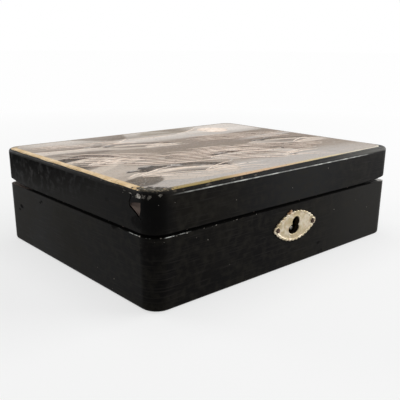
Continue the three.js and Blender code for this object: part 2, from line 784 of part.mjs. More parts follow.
addBody();
addLid();
addHinges();
addLock();
addScrews(box, bodyHingeScrews, 'brass');
addScrews(lid, lidHingeScrews, 'brass');
addScrews(box, lockScrews, 'steel');
addScrews(lid, linkScrews, 'steel');

export default box;
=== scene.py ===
# %% [markdown]
# # A black lacquer box with a lock
# The object is a flat document box of wood under black lacquer. A decorated lid turns on two
# hidden hinges, and a plated keyhole shows the lock. The frame that is loaded here is the
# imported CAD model: every board, hinge leaf and screw at its real place and size, in metres.
# Nothing in it is moved. Each cell below gives one piece its finish, or replaces its plain
# solid by a finer mesh at the same place.

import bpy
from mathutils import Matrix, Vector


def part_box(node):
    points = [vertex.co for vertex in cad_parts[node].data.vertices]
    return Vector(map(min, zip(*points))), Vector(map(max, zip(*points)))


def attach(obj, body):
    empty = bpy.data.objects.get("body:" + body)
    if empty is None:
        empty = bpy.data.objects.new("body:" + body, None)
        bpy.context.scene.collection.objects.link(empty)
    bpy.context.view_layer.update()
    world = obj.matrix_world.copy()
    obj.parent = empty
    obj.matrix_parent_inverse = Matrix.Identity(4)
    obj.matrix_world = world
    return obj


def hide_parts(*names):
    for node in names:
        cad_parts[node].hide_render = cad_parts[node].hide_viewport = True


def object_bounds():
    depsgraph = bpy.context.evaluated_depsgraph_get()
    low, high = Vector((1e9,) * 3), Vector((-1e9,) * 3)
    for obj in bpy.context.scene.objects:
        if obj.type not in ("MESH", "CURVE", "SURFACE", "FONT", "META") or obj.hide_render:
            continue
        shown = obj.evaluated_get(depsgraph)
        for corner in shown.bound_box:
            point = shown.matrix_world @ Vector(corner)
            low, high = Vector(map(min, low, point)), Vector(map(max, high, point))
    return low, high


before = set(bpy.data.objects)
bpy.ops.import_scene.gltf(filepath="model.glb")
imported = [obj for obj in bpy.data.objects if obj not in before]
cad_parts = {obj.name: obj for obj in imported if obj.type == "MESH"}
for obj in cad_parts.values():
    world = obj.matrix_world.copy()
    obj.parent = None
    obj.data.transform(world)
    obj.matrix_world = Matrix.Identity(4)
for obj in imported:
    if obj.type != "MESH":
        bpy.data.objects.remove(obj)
cad_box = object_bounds()
print("CAD box", [list(corner) for corner in cad_box])

# %% [markdown]
# ## Units and colours
# Sizes on a box like this are thought of in millimetres, so they are written that way and
# multiplied by `MM`. Colours are sRGB hex values, as a painter's chart gives them, and Blender
# wants them linear.

# %% Units and colours
import math
import random

import bmesh
import bpy
from mathutils import Matrix, Vector, noise

MM = 0.001


def linear(hex_value):
    """An sRGB hex colour as linear red, green, blue and alpha. A socket stays as it is."""
    if not isinstance(hex_value, str):
        return hex_value
    parts = [int(hex_value[i:i + 2], 16) / 255 for i in (1, 3, 5)]
    return [p / 12.92 if p <= 0.04045 else ((p + 0.055) / 1.055) ** 2.4 for p in parts] + [1.0]


print("mid grey #808080 is", round(linear("#808080")[0], 3), "in linear light")

# %% [markdown]
# ## The node helpers
# One function adds any node: it takes the node's kind, what goes into its sockets and its
# settings, and gives back one of its outputs for the next node. A mask says where something
# shows. It is a product of soft steps, such as "above this height" times "left of this line".
# Dirt, wear and fading are colours painted over each other, each through its own mask. The last
# helper gives a material its relief and its shader.

# %% Node helpers
def new_material(name):
    """An empty material and its node tree."""
    material = bpy.data.materials.new(name)
    material.use_nodes = True
    material.node_tree.nodes.clear()
    return material, material.node_tree


def add(tree, kind, inputs=None, out=0, **settings):
    """Adds a node: sockets in inputs are linked, other values are set. Gives back output out."""
    made = tree.nodes.new(kind)
    for name, value in settings.items():
        setattr(made, name, value)
    for key, value in (inputs or {}).items():
        if isinstance(value, bpy.types.NodeSocket):
            tree.links.new(value, made.inputs[key])
        else:
            made.inputs[key].default_value = value
    return made.outputs[out] if made.outputs else made


def mask(tree, *steps):
    """A product of sockets, numbers and soft steps (value, where it is 0, where it is 1)."""
    product = None
    for step in steps:
        if isinstance(step, tuple):
            step = add(tree, "ShaderNodeMapRange", dict(enumerate(step)),
                       interpolation_type="SMOOTHSTEP")
        if product is not None:
            step = add(tree, "ShaderNodeMath", {0: product, 1: step}, operation="MULTIPLY")
        product = step
    return product


def painted(tree, colour, *layers):
    """Colours laid over a first one, each given as (its mask, colour)."""
    for share, over in layers:
        colour = add(tree, "ShaderNodeMix", {0: share, 6: linear(colour), 7: linear(over)}, out=2,
                     data_type="RGBA")
    return colour


def surfaced(tree, height, strength, depth, look):
    """Ends a material: relief up to depth in mm, and the shader's sockets in look."""
    bump = add(tree, "ShaderNodeBump", {"Strength": strength, "Distance": depth * MM,
                                        "Height": height})
    shader = add(tree, "ShaderNodeBsdfPrincipled", {**look, "Normal": bump})
    add(tree, "ShaderNodeOutputMaterial", {"Surface": shader})


print("node helpers", [helper.__name__ for helper in (add, mask, painted, surfaced)])

# %% [markdown]
# ## The camera
# The picture was taken close to the box, from its front left corner and a little above, so the
# near corner looms and both long edges run away steeply. The camera's place was worked out from
# the box's own outline: about 0.27 m from the near corner and 0.13 m above the table. It is
# built from its yaw, pitch and a very small roll. The upright edges run together a little more
# than the pitch alone gives, as in a picture that was trimmed at its foot, so the lens axis lies
# 23.5 pixels below the middle.

# %% Camera
SENSOR = 36.0
IMAGE = 400
FOCAL_PIXELS = 561.2
AXIS_BELOW_MIDDLE = 23.5
camera_place = Vector((-267.8, -299.6, 134.3)) * MM
yaw, pitch, roll = (math.radians(angle) for angle in (41.684, -17.479, 0.448))

ahead = Vector((math.sin(yaw) * math.cos(pitch), math.cos(yaw) * math.cos(pitch), math.sin(pitch)))
level_right = Vector((math.cos(yaw), -math.sin(yaw), 0.0))
level_up = level_right.cross(ahead)
right = level_right * math.cos(roll) + level_up * math.sin(roll)
up = level_up * math.cos(roll) - level_right * math.sin(roll)

camera_data = bpy.data.cameras.new("camera")
camera_data.sensor_width = SENSOR
camera_data.lens = FOCAL_PIXELS * SENSOR / IMAGE
camera_data.shift_y = AXIS_BELOW_MIDDLE / IMAGE
camera_data.clip_start = 0.01
camera = bpy.data.objects.new("camera", camera_data)
turn = Matrix((right, up, -ahead)).transposed().to_4x4()
camera.matrix_world = Matrix.Translation(camera_place) @ turn
bpy.context.scene.collection.objects.link(camera)
bpy.context.scene.camera = camera
print("lens", round(camera_data.lens, 2), "mm")

# %% [markdown]
# ## The table and the backdrop
# A pale table runs into a white backdrop. The table is a plain matt white that keeps the box's
# shadows. For the camera and for mirror images part of its brightness is its own, which lifts it
# to the backdrop's white without any more light on the box. That part grows with the distance
# from the box, so the table meets the backdrop without a line. The table lies a twentieth of a
# millimetre under the box, because two faces in one plane flicker in a view from below.

# %% Table and backdrop
TABLE_WIDTH = 30.0
TABLE_DROP = 0.05 * MM
TABLE_OWN_LIGHT = 0.66


def seen_directly(tree):
    """1 for what the camera, a mirror image or glass sees, and 0 for light on the box."""
    rays = add(tree, "ShaderNodeLightPath").node.outputs
    seen = rays["Is Camera Ray"]
    for kind in ("Is Glossy Ray", "Is Transmission Ray"):
        seen = add(tree, "ShaderNodeMath", {0: seen, 1: rays[kind]}, operation="MAXIMUM")
    return seen


table_material, tree = new_material("matt_white_table")
from_box = add(tree, "ShaderNodeVectorMath", {0: add(tree, "ShaderNodeTexCoord", out="Object")},
               out="Value", operation="LENGTH")
own_share = add(tree, "ShaderNodeMapRange", {0: from_box, 1: 0.2, 2: 0.9, 3: TABLE_OWN_LIGHT,
                                             4: 1.0})
matt = add(tree, "ShaderNodeBsdfDiffuse", {"Color": linear("#f3f3f2")})
own = add(tree, "ShaderNodeEmission", {"Color": linear("#fefefe"), "Strength": 1.0})
share = mask(tree, seen_directly(tree), own_share)
add(tree, "ShaderNodeOutputMaterial",
    {"Surface": add(tree, "ShaderNodeMixShader", {0: share, 1: matt, 2: own})})

half = TABLE_WIDTH / 2
corners = [(-half, -half), (half, -half), (half, half), (-half, half)]
table_mesh = bpy.data.meshes.new("table")
table_mesh.from_pydata([(x, y, -TABLE_DROP) for x, y in corners], [], [(0, 1, 2, 3)])
table_mesh.materials.append(table_material)
table = bpy.data.objects.new("table", table_mesh)
bpy.context.scene.collection.objects.link(table)

world = bpy.data.worlds.new("white_backdrop")
world.use_nodes = True
tree = world.node_tree
tree.nodes.clear()
soft = add(tree, "ShaderNodeBackground", {"Color": linear("#f4f6f8"), "Strength": 0.3})
white = add(tree, "ShaderNodeBackground", {"Color": linear("#ffffff"), "Strength": 1.0})
add(tree, "ShaderNodeOutputWorld",
    {"Surface": add(tree, "ShaderNodeMixShader", {0: seen_directly(tree), 1: soft, 2: white})})
bpy.context.scene.world = world
print("table", TABLE_WIDTH, "m wide, its own light", TABLE_OWN_LIGHT, "near the box")

# %% [markdown]
# ## The lamps
# Two softboxes stand left and right of the box, almost square to the view, so both faces are lit
# while the near corner, which looks between them, stays almost black. The right one is twice as
# large, so the lid mirrors it as a broad haze and not as a hard white patch. A third large lamp
# hangs above.

# %% Lamps
LAMPS = {
    # name: (direction from the box, height angle, distance in m, side in m, watts)
    "softbox_right": ((0.88, -0.47), 18, 1.3, 1.1, 17.0),
    "softbox_left": ((-0.42, 0.91), 18, 1.3, 0.55, 3.3),
    "overhead": ((0.0, 0.2), 82, 1.4, 1.1, 7.4),
}
for name, (heading, height_angle, distance, side, watts) in LAMPS.items():
    lamp_data = bpy.data.lights.new(name, "AREA")
    lamp_data.shape = "SQUARE"
    lamp_data.size = side
    lamp_data.energy = watts
    rise = math.radians(height_angle)
    flat = Vector((*heading, 0)).normalized() * math.cos(rise)
    lamp = bpy.data.objects.new(name, lamp_data)
    lamp.location = (flat + Vector((0, 0, math.sin(rise)))) * distance
    lamp.rotation_euler = (-lamp.location).to_track_quat("-Z", "Y").to_euler()
    bpy.context.scene.collection.objects.link(lamp)
bpy.context.scene.view_settings.view_transform = "Standard"
print("lamps", list(LAMPS))

# %% [markdown]
# ## Black lacquer on wood
# The boards are coated with many thin coats of black lacquer, rubbed down and polished, and a
# century of handling has dulled them. What the eye gets is a deep black with a weak, broad sheen,
# a faint brown where the coats have thinned, fine lines from wiping, dust in specks, and smudges
# where something was spilled. All masks are worked out from the place on the box, in object
# coordinates, so the finish runs on over the joints between the boards, as real lacquer does.

# %% Places on the lacquer
BOX_TOP = cad_box[1].z
SEAM = (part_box("body_front_board")[1].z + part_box("lid_front_rail")[0].z) / 2


def place_on_box(tree):
    """The place on the box as a vector, and its x, y and z."""
    spot = add(tree, "ShaderNodeTexCoord", out="Object")
    return spot, *add(tree, "ShaderNodeSeparateXYZ", {0: spot}).node.outputs


def near(tree, spot, place, far, close):
    """A mask round a place in mm: 0 where it is far mm away, and 1 where it is close mm away."""
    away = add(tree, "ShaderNodeVectorMath", {0: spot, 1: Vector(place) * MM}, out="Value",
               operation="DISTANCE")
    return mask(tree, (away, far * MM, close * MM))


def off_level(tree, z, level):
    """How far each spot is above or below a level in mm."""
    above = add(tree, "ShaderNodeMath", {0: z, 1: level * MM}, operation="SUBTRACT")
    return add(tree, "ShaderNodeMath", {0: above}, operation="ABSOLUTE")


print("box top", round(BOX_TOP / MM, 2), "mm, seam", round(SEAM / MM, 2), "mm")

# %% [markdown]
# ## Smudges
# Something was spilled or rested on the lacquer here and there, and left a dull dark patch with a
# ragged rim. A patch is the distance from its middle, with a noise of about 3 mm added to it, cut
# off at a given reach. Patches are wiped along the faces, so they are drawn out to twice their
# height.

# %% Smudges
# Smudges and drips: x, y and z in mm, reach in mm, and how strong
SMUDGES = [
    (-110, 33, 37.0, 2.0, 1.0), (-110, 35, 36.0, 1.2, 1.0), (-110, 65, 27.2, 2.4, 1.0),
    (-110, 68, 24.5, 1.4, 0.8), (-110, 70, 58, 4, 0.6), (-110, 30, 60, 2.4, 0.6),
    (-110, -52, 41, 2.6, 0.9), (-110, -46, 55, 2.0, 0.6), (-110, -75, 49, 6, 0.8),
    (-108, -84, 34, 7, 0.8), (29, -86.5, 9.5, 1.8, 0.8), (31, -86.5, 3, 2.4, 0.7),
    (60, -86.5, 50, 6, 0.4), (-60, -86.5, 20, 7, 0.3), (-30, -86.5, 41, 2.5, 0.6),
]


def smudges(tree, spot):
    """Dull dark patches with a ragged rim, drawn out to twice their height along the faces."""
    ragged = add(tree, "ShaderNodeTexNoise", {"Vector": spot, "Scale": 330.0, "Detail": 5.0,
                                              "Roughness": 0.65})
    smudged = 0.0
    for *place, reach, strength in SMUDGES:
        away = add(tree, "ShaderNodeVectorMath", {0: spot, 1: Vector(place) * MM},
                   operation="SUBTRACT")
        drawn_out = Vector((0.5, 0.5, 1.0)) / (reach * MM)
        away = add(tree, "ShaderNodeVectorMath", {0: away, 1: drawn_out}, operation="MULTIPLY")
        away = add(tree, "ShaderNodeVectorMath", {0: away}, out="Value", operation="LENGTH")
        away = add(tree, "ShaderNodeMath", {0: ragged, 1: 2.4, 2: away}, operation="MULTIPLY_ADD")
        one = mask(tree, (away, 2.0, 1.6), strength)
        smudged = add(tree, "ShaderNodeMath", {0: smudged, 1: one}, operation="MAXIMUM")
    return smudged


print("smudges", len(SMUDGES))

# %% [markdown]
# ## Painted sheen, highlights and shade
# The front carries a painted sheen: it is lighter on its right half below the lid, and on the lid's front
# in the middle. A pale haze on the right of the front top edge is a painted reflection. The foot of that
# edge's rounding is rubbed and carries a painted highlight as a bright line in dashes, and so does the
# body's upper edge at the near corner. The lid's left side is painted darker towards its top, and its near
# corner near black, both as painted shade. Each of these places is a mask made of soft steps in x, y and
# z, and noise breaks the bright lines into dashes.

# %% Painted sheen, highlights and shade
WORN_HIGHLIGHT_LINE_Z = 63.35
WORN_HIGHLIGHT_ARRIS_Z = 41.35


def painted_sheen_places(tree, x, y, z):
    """Masks of the painted sheen on the front and on the lid's front, and of the painted reflection on the
    top edge.
    """
    on_front = (y, -84 * MM, -86 * MM)
    # front and lid are painted sheen: lighter patches on the front's right half below the lid and on the
    # middle of the lid's front
    front = mask(tree, (x, 0.0, 85 * MM), on_front, (z, 43 * MM, 41 * MM), 0.75)
    lid = mask(tree, (x, -75 * MM, 0.0), (x, 75 * MM, 15 * MM), on_front, (z, 42 * MM, 43 * MM), 0.6)
    # edge is a painted reflection: a pale haze on the rounding of the front top edge, towards its right
    edge = mask(tree, (x, 20 * MM, 96 * MM), (z, 63.2 * MM, 64.2 * MM), (y, -82 * MM, -84 * MM), 0.6)
    return front, lid, edge


def worn_highlight_lines(tree, spot, x, y, z):
    """A mask of the two lines that are rubbed and carry a painted highlight, broken into dashes."""
    dashes = add(tree, "ShaderNodeTexNoise", {"Vector": spot, "Scale": 170.0, "Detail": 3.0})
    dashed = add(tree, "ShaderNodeMapRange", {0: dashes, 1: 0.36, 2: 0.62, 3: 0.3, 4: 1.0})
    line = mask(tree, (off_level(tree, z, WORN_HIGHLIGHT_LINE_Z), 0.42 * MM, 0.2 * MM), dashed,
                (y, -85.6 * MM, -86.2 * MM), (x, -99 * MM, -70 * MM), (x, 92 * MM, 56 * MM))
    arris = mask(tree, (off_level(tree, z, WORN_HIGHLIGHT_ARRIS_Z), 0.3 * MM, 0.12 * MM), (dashes, 0.46, 0.66),
                 near(tree, spot, (-108, -84, 41.5), 30, 8))
    return add(tree, "ShaderNodeMath", {0: line, 1: arris}, operation="MAXIMUM")


def lid_shades(tree, spot, x, y, z, mottle):
    """Masks of painted shade: the lid's left side, darker towards its top, and its near corner."""
    to_top = add(tree, "ShaderNodeMapRange", {0: z, 1: 46 * MM, 2: 62.5 * MM, 3: 0.55, 4: 0.95})
    to_rear = add(tree, "ShaderNodeMapRange", {0: y, 1: -80 * MM, 2: 30 * MM, 3: 0.4, 4: 1.0})
    dull_shaded_lid_side = mask(tree, to_top, to_rear, (x, -108 * MM, -109.5 * MM), (z, 42 * MM, 43 * MM),
                   (z, 63.6 * MM, 62.8 * MM), (mottle, 0.05, 0.6))
    return dull_shaded_lid_side, mask(tree, near(tree, spot, (-107.5, -84, 53), 15, 7), 0.9)


print("bright lines at", WORN_HIGHLIGHT_LINE_Z, "and", WORN_HIGHLIGHT_ARRIS_Z, "mm")

# %% [markdown]
# ## The lacquer's coats and its wear
# The material is painted in this order: clouds of thinner coats, a painted sheen on the front, mottling,
# wiping lines, painted shade on the lid's left side and its near corner, rubbed edges, dust, grime in the
# seam that also paints the shade of the gap, a painted reflection and painted highlights on the edges, and
# the smudges last. Lacquer has an IOR of about 1.5. Fine scratches and a film of dust scatter most of its
# mirror image, so the specular level is set low on the outside. The inside was handled less: it is
# smoother, and mirrors more.

# %% Black lacquer
LACQUER_IOR = 1.5


def black_lacquer(name, dark, worn, wear_amount=1.0, specular=0.035, roughness=0.42):
    """Aged black lacquer whose thin coats show brown towards the edges."""
    material, tree = new_material(name)
    spot, x, y, z = place_on_box(tree)

    # Clouds 40 mm across, mottling of brushed coats, breaks in the wear, and orange peel
    clouds, mottle, broken, peel = [
        add(tree, "ShaderNodeTexNoise", {"Vector": spot, "Scale": scale, "Detail": detail})
        for scale, detail in ((25.0, 4.0), (210.0, 5.0), (260.0, 5.0), (420.0, 4.0))]
    mottled = add(tree, "ShaderNodeMapRange", {0: mottle, 1: 0.45, 2: 0.75, 3: 0.0, 4: 0.7})

    # Wiping lines, about 1 mm apart, that run along the faces
    flat = add(tree, "ShaderNodeMapping", {"Vector": spot, "Scale": (45.0, 45.0, 1500.0)})
    lines = add(tree, "ShaderNodeTexNoise", {"Vector": flat, "Scale": 1.0, "Detail": 3.0})

    # Rubbed edges beside the seam and round the top, and black grime in the seam, which also paints the
    # shade of the gap
    from_seam = off_level(tree, z, SEAM / MM)
    beside_seam = mask(tree, (from_seam, 2.2 * MM, 0.8 * MM))
    round_top = mask(tree, (z, BOX_TOP - 3.2 * MM, BOX_TOP - 1.4 * MM))
    edges = add(tree, "ShaderNodeMath", {0: beside_seam, 1: round_top}, operation="MAXIMUM")
    rubbed = mask(tree, (mask(tree, edges, broken), 0.58, 0.7), wear_amount)
    uneven = add(tree, "ShaderNodeMath", {0: broken, 1: 0.5 * MM, 2: from_seam},
                 operation="MULTIPLY_ADD")
    seam_grime_and_shade = mask(tree, (uneven, 1.5 * MM, 1.2 * MM))

    # Dust specks, half a millimetre wide and 12 mm apart
    specks = add(tree, "ShaderNodeTexVoronoi", {"Vector": spot, "Scale": 85.0}, out="Distance")
    dust = mask(tree, (specks, 0.038, 0.02))

    front, lid, edge = painted_sheen_places(tree, x, y, z)
    dull_shaded_lid_side, painted_corner_shade = lid_shades(tree, spot, x, y, z, mottle)
    smudged = smudges(tree, spot)
    # Painted light in these layers: front and lid are painted sheen, the shaded lid side and the corner
    # are painted shade, edge is a painted reflection, the highlight lines are painted highlights, and the
    # seam grime also paints the shade of the gap
    base = painted(tree, dark, (mask(tree, (clouds, 0.38, 0.68)), worn), (front, "#242321"),
                   (lid, "#232425"), (mottled, "#24221d"), (mask(tree, (lines, 0.5, 0.72)), "#1e1c1a"),
                   (dull_shaded_lid_side, "#030303"), (painted_corner_shade, "#040404"), (rubbed, "#4a443c"),
                   (dust, "#78726a"), (seam_grime_and_shade, "#040404"), (edge, "#6a6964"),
                   (worn_highlight_lines(tree, spot, x, y, z), "#d2d3ce"), (smudged, "#100f0f"))

    # The sheen varies with the clouds and the mottling, and is gone where the lacquer was touched
    rough = add(tree, "ShaderNodeMapRange", {0: clouds, 1: 0.3, 2: 0.7, 3: roughness - 0.21,
                                             4: roughness - 0.07})
    rough = add(tree, "ShaderNodeMath", {0: mottle, 1: 0.3, 2: rough}, operation="MULTIPLY_ADD")
    for dull in (smudged, seam_grime_and_shade, dull_shaded_lid_side):
        rough = add(tree, "ShaderNodeMath", {0: rough, 1: dull}, operation="MAXIMUM")
    relief = add(tree, "ShaderNodeMath", {0: peel, 1: lines}, operation="ADD")
    relief = add(tree, "ShaderNodeMath", {0: relief, 1: rubbed}, operation="SUBTRACT")
    surfaced(tree, relief, 0.35, 0.05, {"Base Color": base, "Roughness": rough, "IOR": LACQUER_IOR,
                                        "Specular IOR Level": specular})
    return material


lacquer_outside = black_lacquer("brushed_black_lacquer", "#090808", "#12100c")
lacquer_inside = black_lacquer("inner_black_lacquer", "#141312", "#1d1b18", wear_amount=0.4,
                               specular=0.35, roughness=0.3)
print("lacquer materials", lacquer_outside.name, lacquer_inside.name)

# %% [markdown]
# ## Bare wood, ground coat and grime
# Where the lacquer has broken away, either the brown wood shows, or the pale coat of clay and glue that
# fills the wood's pores under the lacquer. The wood is a light, close-grained softwood, gone brown with
# age: growth rings a millimetre or two apart. The ground coat is chalky, so it has hardly any sheen.
# Grooves are packed with grime, black and crumbly, and the same black grime also paints the shade in the
# seam's groove and a shadow along the torn wood at the near corner. Coat and grime break without a
# direction, so one function makes both from crumbs of a given size.

# %% Bare wood, ground coat and grime
def aged_wood(name, light, brown):
    """Bare softwood, with rings about 2 mm apart that run along the board's length."""
    material, tree = new_material(name)
    spot = add(tree, "ShaderNodeTexCoord", out="Object")
    along = add(tree, "ShaderNodeMapping", {"Vector": spot, "Scale": (60.0, 60.0, 420.0)})
    rings = add(tree, "ShaderNodeTexNoise", {"Vector": along, "Scale": 1.0, "Detail": 4.0})
    fibres = add(tree, "ShaderNodeTexNoise", {"Vector": spot, "Scale": 1400.0, "Detail": 3.0})
    height = add(tree, "ShaderNodeMath", {0: rings, 1: fibres}, operation="ADD")
    base = painted(tree, light, (mask(tree, (rings, 0.3, 0.7)), brown))
    surfaced(tree, height, 0.6, 0.1, {"Base Color": base, "Roughness": 0.8, "IOR": 1.45,
                                      "Specular IOR Level": 0.25})
    return material


def crumbly(name, crumb_scale, colours, mixed_from, mixed_to, relief, roughness, specular,
            detail=5.0, clean_at=None):
    """A brittle coat in two colours, which may be clean within 6 mm of one place."""
    material, tree = new_material(name)
    spot = add(tree, "ShaderNodeTexCoord", out="Object")
    crumbs = add(tree, "ShaderNodeTexNoise", {"Vector": spot, "Scale": crumb_scale, "Detail": detail})
    base = painted(tree, colours[0], (mask(tree, (crumbs, mixed_from, mixed_to)), colours[1]))
    if clean_at:
        away = add(tree, "ShaderNodeVectorMath", {0: spot, 1: Vector(clean_at) * MM}, out="Value",
                   operation="DISTANCE")
        ragged = add(tree, "ShaderNodeMath", {0: crumbs, 1: 8 * MM, 2: away},
                     operation="MULTIPLY_ADD")
        base = painted(tree, base, (mask(tree, (ragged, 9 * MM, 11 * MM)), "#1c1916"))
    surfaced(tree, crumbs, relief, 0.1, {"Base Color": base, "Roughness": roughness, "IOR": 1.5,
                                         "Specular IOR Level": specular})
    return material


bare_wood = aged_wood("sawn_aged_softwood", "#65574f", "#40342f")
grimy_wood = aged_wood("grimy_keyhole_wood", "#241b15", "#120e0b")
ground_coat, pale_coat, dusty_coat = [
    crumbly(name, 700.0, colours, 0.4, 0.62, 0.7, 0.75, 0.3, clean_at=clean_at)
    for name, colours, clean_at in (
        ("chalky_clay_ground_coat", ("#c8c3bb", "#7a746c"), None),
        ("freshly_chipped_ground_coat", ("#e8e6e1", "#aea89f"), (106.0, -84.5, 41.0)),
        ("dusty_chipped_ground_coat", ("#77736c", "#3a3732"), None))]
# This black grime also serves as painted shade in the seam's groove and as a painted shadow at the torn
# corner
packed_grime_and_shade = crumbly("packed_black_grime_and_shade", 900.0, ("#040403", "#14110d"), 0.5, 0.75, 0.8, 0.9, 0.03)
print("under the lacquer", [m.name for m in (bare_wood, ground_coat, pale_coat, packed_grime_and_shade)])

# %% [markdown]
# ## Refining a CAD solid
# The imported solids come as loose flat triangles. A finer piece starts from a copy of that mesh:
# its corners are welded, faces that meet at a small angle are shaded as one smooth surface, and
# sharp edges stay sharp. A weighted normal modifier then keeps the large flat faces flat next to
# the rounded corners. The CAD node itself is left as it is, and hidden.

# %% Refining helpers
def weld_and_smooth(mesh, sharp_degrees=32.0, weld=0.004 * MM):
    """Welds a mesh and marks its sharp edges, with smooth shading between them."""
    shape = bmesh.new()
    shape.from_mesh(mesh)
    bmesh.ops.remove_doubles(shape, verts=shape.verts, dist=weld)
    bmesh.ops.dissolve_degenerate(shape, dist=weld, edges=shape.edges)
    bmesh.ops.recalc_face_normals(shape, faces=shape.faces)
    limit = math.radians(sharp_degrees)
    for edge in shape.edges:
        edge.smooth = len(edge.link_faces) == 2 and edge.calc_face_angle(0.0) < limit
    for face in shape.faces:
        face.smooth = True
    shape.to_mesh(mesh)
    shape.free()
    for layer in [a for a in mesh.attributes if a.name == "custom_normal"]:
        mesh.attributes.remove(layer)


def new_piece(name, mesh, body, *replaced, slot):
    """Puts a mesh in the scene as a piece of the box that rides on a body."""
    made = bpy.data.objects.new(name, mesh)
    bpy.context.scene.collection.objects.link(made)
    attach(made, body)
    if replaced:
        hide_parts(*replaced)
    return made


def keep_flats_flat(piece):
    """Lets large faces lead the shading, so that flats stay flat beside rounded edges."""
    weighted = piece.modifiers.new("flat_faces_lead", "WEIGHTED_NORMAL")
    weighted.keep_sharp = True
    weighted.weight = 80


print("CAD nodes to refine", len(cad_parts))

# %% [markdown]
# ## Solids in code
# Chips, strokes of the drawing, the plate and its pins are all closed solids, written as a list
# of points in millimetres and a list of faces. Three ways of making one are enough here: a lump
# is a ball with an uneven surface, a prism is an outline on two levels, and a woven skin joins
# rows of points that are each a closed loop.

# %% Solids in code
def lump(centre, size, seed, turn_degrees=(0, 0, 0), rough=0.25, detail=2):
    """A faceted lump with an uneven surface."""
    shape = bmesh.new()
    bmesh.ops.create_icosphere(shape, subdivisions=detail, radius=1.0)
    spin = Matrix.Identity(3)
    for axis, angle in zip("XYZ", turn_degrees):
        spin = Matrix.Rotation(math.radians(angle), 3, axis) @ spin
    offset = Vector((seed * 3.7, seed * 1.3, seed * 2.1))
    for vert in shape.verts:
        swell = 1 + rough * noise.noise(vert.co * 1.7 + offset)
        local = Vector([vert.co[i] * size[i] * swell for i in range(3)])
        vert.co = spin @ local + Vector(centre)
    points = [vert.co.copy() for vert in shape.verts]
    faces = [[vert.index for vert in face.verts] for face in shape.faces]
    shape.free()
    return points, faces


def prism(outline, low, high, axis="Z"):
    """A solid between two copies of an outline, set along one axis."""
    points = []
    for depth in (low, high):
        for a, b in outline:
            points.append({"X": (depth, a, b), "Y": (a, depth, b), "Z": (a, b, depth)}[axis])
    count = len(outline)
    faces = [list(range(count)), list(range(2 * count - 1, count - 1, -1))]
    for i in range(count):
        j = (i + 1) % count
        faces.append([i, i + count, j + count, j])
    return points, faces


def woven(rows, sides, closed=True):
    """Faces between rows of points. Each row is a loop, and the rows may close to a ring."""
    faces = []
    for i in range(rows if closed else rows - 1):
        j = (i + 1) % rows
        for k in range(sides):
            m = (k + 1) % sides
            faces.append([i * sides + k, i * sides + m, j * sides + m, j * sides + k])
    return faces


print("a small lump has", len(lump((0, 0, 0), (1, 1, 1), 1, detail=1)[1]), "faces")

# %% [markdown]
# ## From solids to a mesh
# Several solids go into one mesh, which is how many strokes of a brush become one piece. Each
# solid brings its material, so a cut can leave bare wood at one place and grime at another. The
# faces are turned outward at the end, because a boolean and the shading both need that.

# %% From solids to a mesh
def mesh_of(name, parts):
    """One mesh from closed solids, each given with its material, with its faces turned outward."""
    points, faces, materials, slots = [], [], [], []
    for (part_points, part_faces), material in parts:
        start = len(points)
        points += [Vector(point) * MM for point in part_points]
        faces += [[start + i for i in face] for face in part_faces]
        if material not in materials:
            materials.append(material)
        slots += [materials.index(material)] * len(part_faces)
    mesh = bpy.data.meshes.new(name)
    mesh.from_pydata(points, [], faces)
    for material in materials:
        mesh.materials.append(material)
    mesh.polygons.foreach_set("material_index", slots)
    shape = bmesh.new()
    shape.from_mesh(mesh)
    bmesh.ops.recalc_face_normals(shape, faces=shape.faces)
    shape.to_mesh(mesh)
    shape.free()
    return mesh


print("a cube from a square has", len(prism([(0, 0), (1, 0), (1, 1), (0, 1)], 0, 1)[1]), "faces")

# %% [markdown]
# ## The seam's groove
# Where lid and body meet, the gap is only half a millimetre wide, but a century of dust, wax and crumbled
# lacquer has made it a dark groove more than a millimetre wide, whose black also paints the shade in the
# gap. It is cut into both sides with a ring whose section follows the box's rounded outline and wavers a
# little. The line with rounded corners that carries it serves the lid's gold border as well.

# %% Seam groove
HALF_LENGTH = cad_box[1].x / MM
HALF_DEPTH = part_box("body_back_board")[1].y / MM
BOX_RADIUS = 10.5
BOX_CORNERS = [(-HALF_LENGTH, -HALF_DEPTH), (HALF_LENGTH, -HALF_DEPTH), (HALF_LENGTH, HALF_DEPTH),
               (-HALF_LENGTH, HALF_DEPTH)]
seam_z = SEAM / MM


def rounded_line(corners, radius, arc_steps=8, side_steps=40):
    """Points and outward directions along a closed line with rounded corners."""
    count = len(corners)
    places, outward = [], []
    for i in range(count):
        here = Vector(corners[i])
        before = (Vector(corners[i - 1]) - here).normalized()
        after = (Vector(corners[(i + 1) % count]) - here).normalized()
        middle = here + (before + after) * radius
        start = (-after).normalized()
        for k in range(arc_steps + 1):
            angle = math.radians(90 * k / arc_steps)
            way = (start * math.cos(angle) - before * math.sin(angle)).normalized()
            places.append(middle + way * radius)
            outward.append(way)
        following = Vector(corners[(i + 1) % count])
        next_after = (Vector(corners[(i + 2) % count]) - following).normalized()
        end = following + (-after + next_after) * radius - next_after * radius
        begin = places[-1]
        for k in range(1, side_steps):
            places.append(begin.lerp(end, k / side_steps))
            outward.append(outward[-1])
    return places, outward


def groove(up):
    """A ring round the box, above the seam where up is 1, and below it where up is -1."""
    # Section of the ring in mm: outward, and away from the seam
    section = [(-0.9, -0.05), (1.0, -0.05), (1.0, 0.95), (-0.25, 0.62), (-0.9, 0.55)]
    places, outward = rounded_line(BOX_CORNERS, BOX_RADIUS, arc_steps=12, side_steps=60)
    points = []
    for place, way in zip(places, outward):
        waver = 0.10 * noise.noise(Vector((place.x * 0.11, place.y * 0.11, 4.0)))
        for out, height in section:
            lift = waver if abs(height) > 0.3 else 0.0
            points.append((*(place + way * out), seam_z + up * height + lift))
    return points, woven(len(places), len(section))


print("groove faces", len(groove(1)[1]))

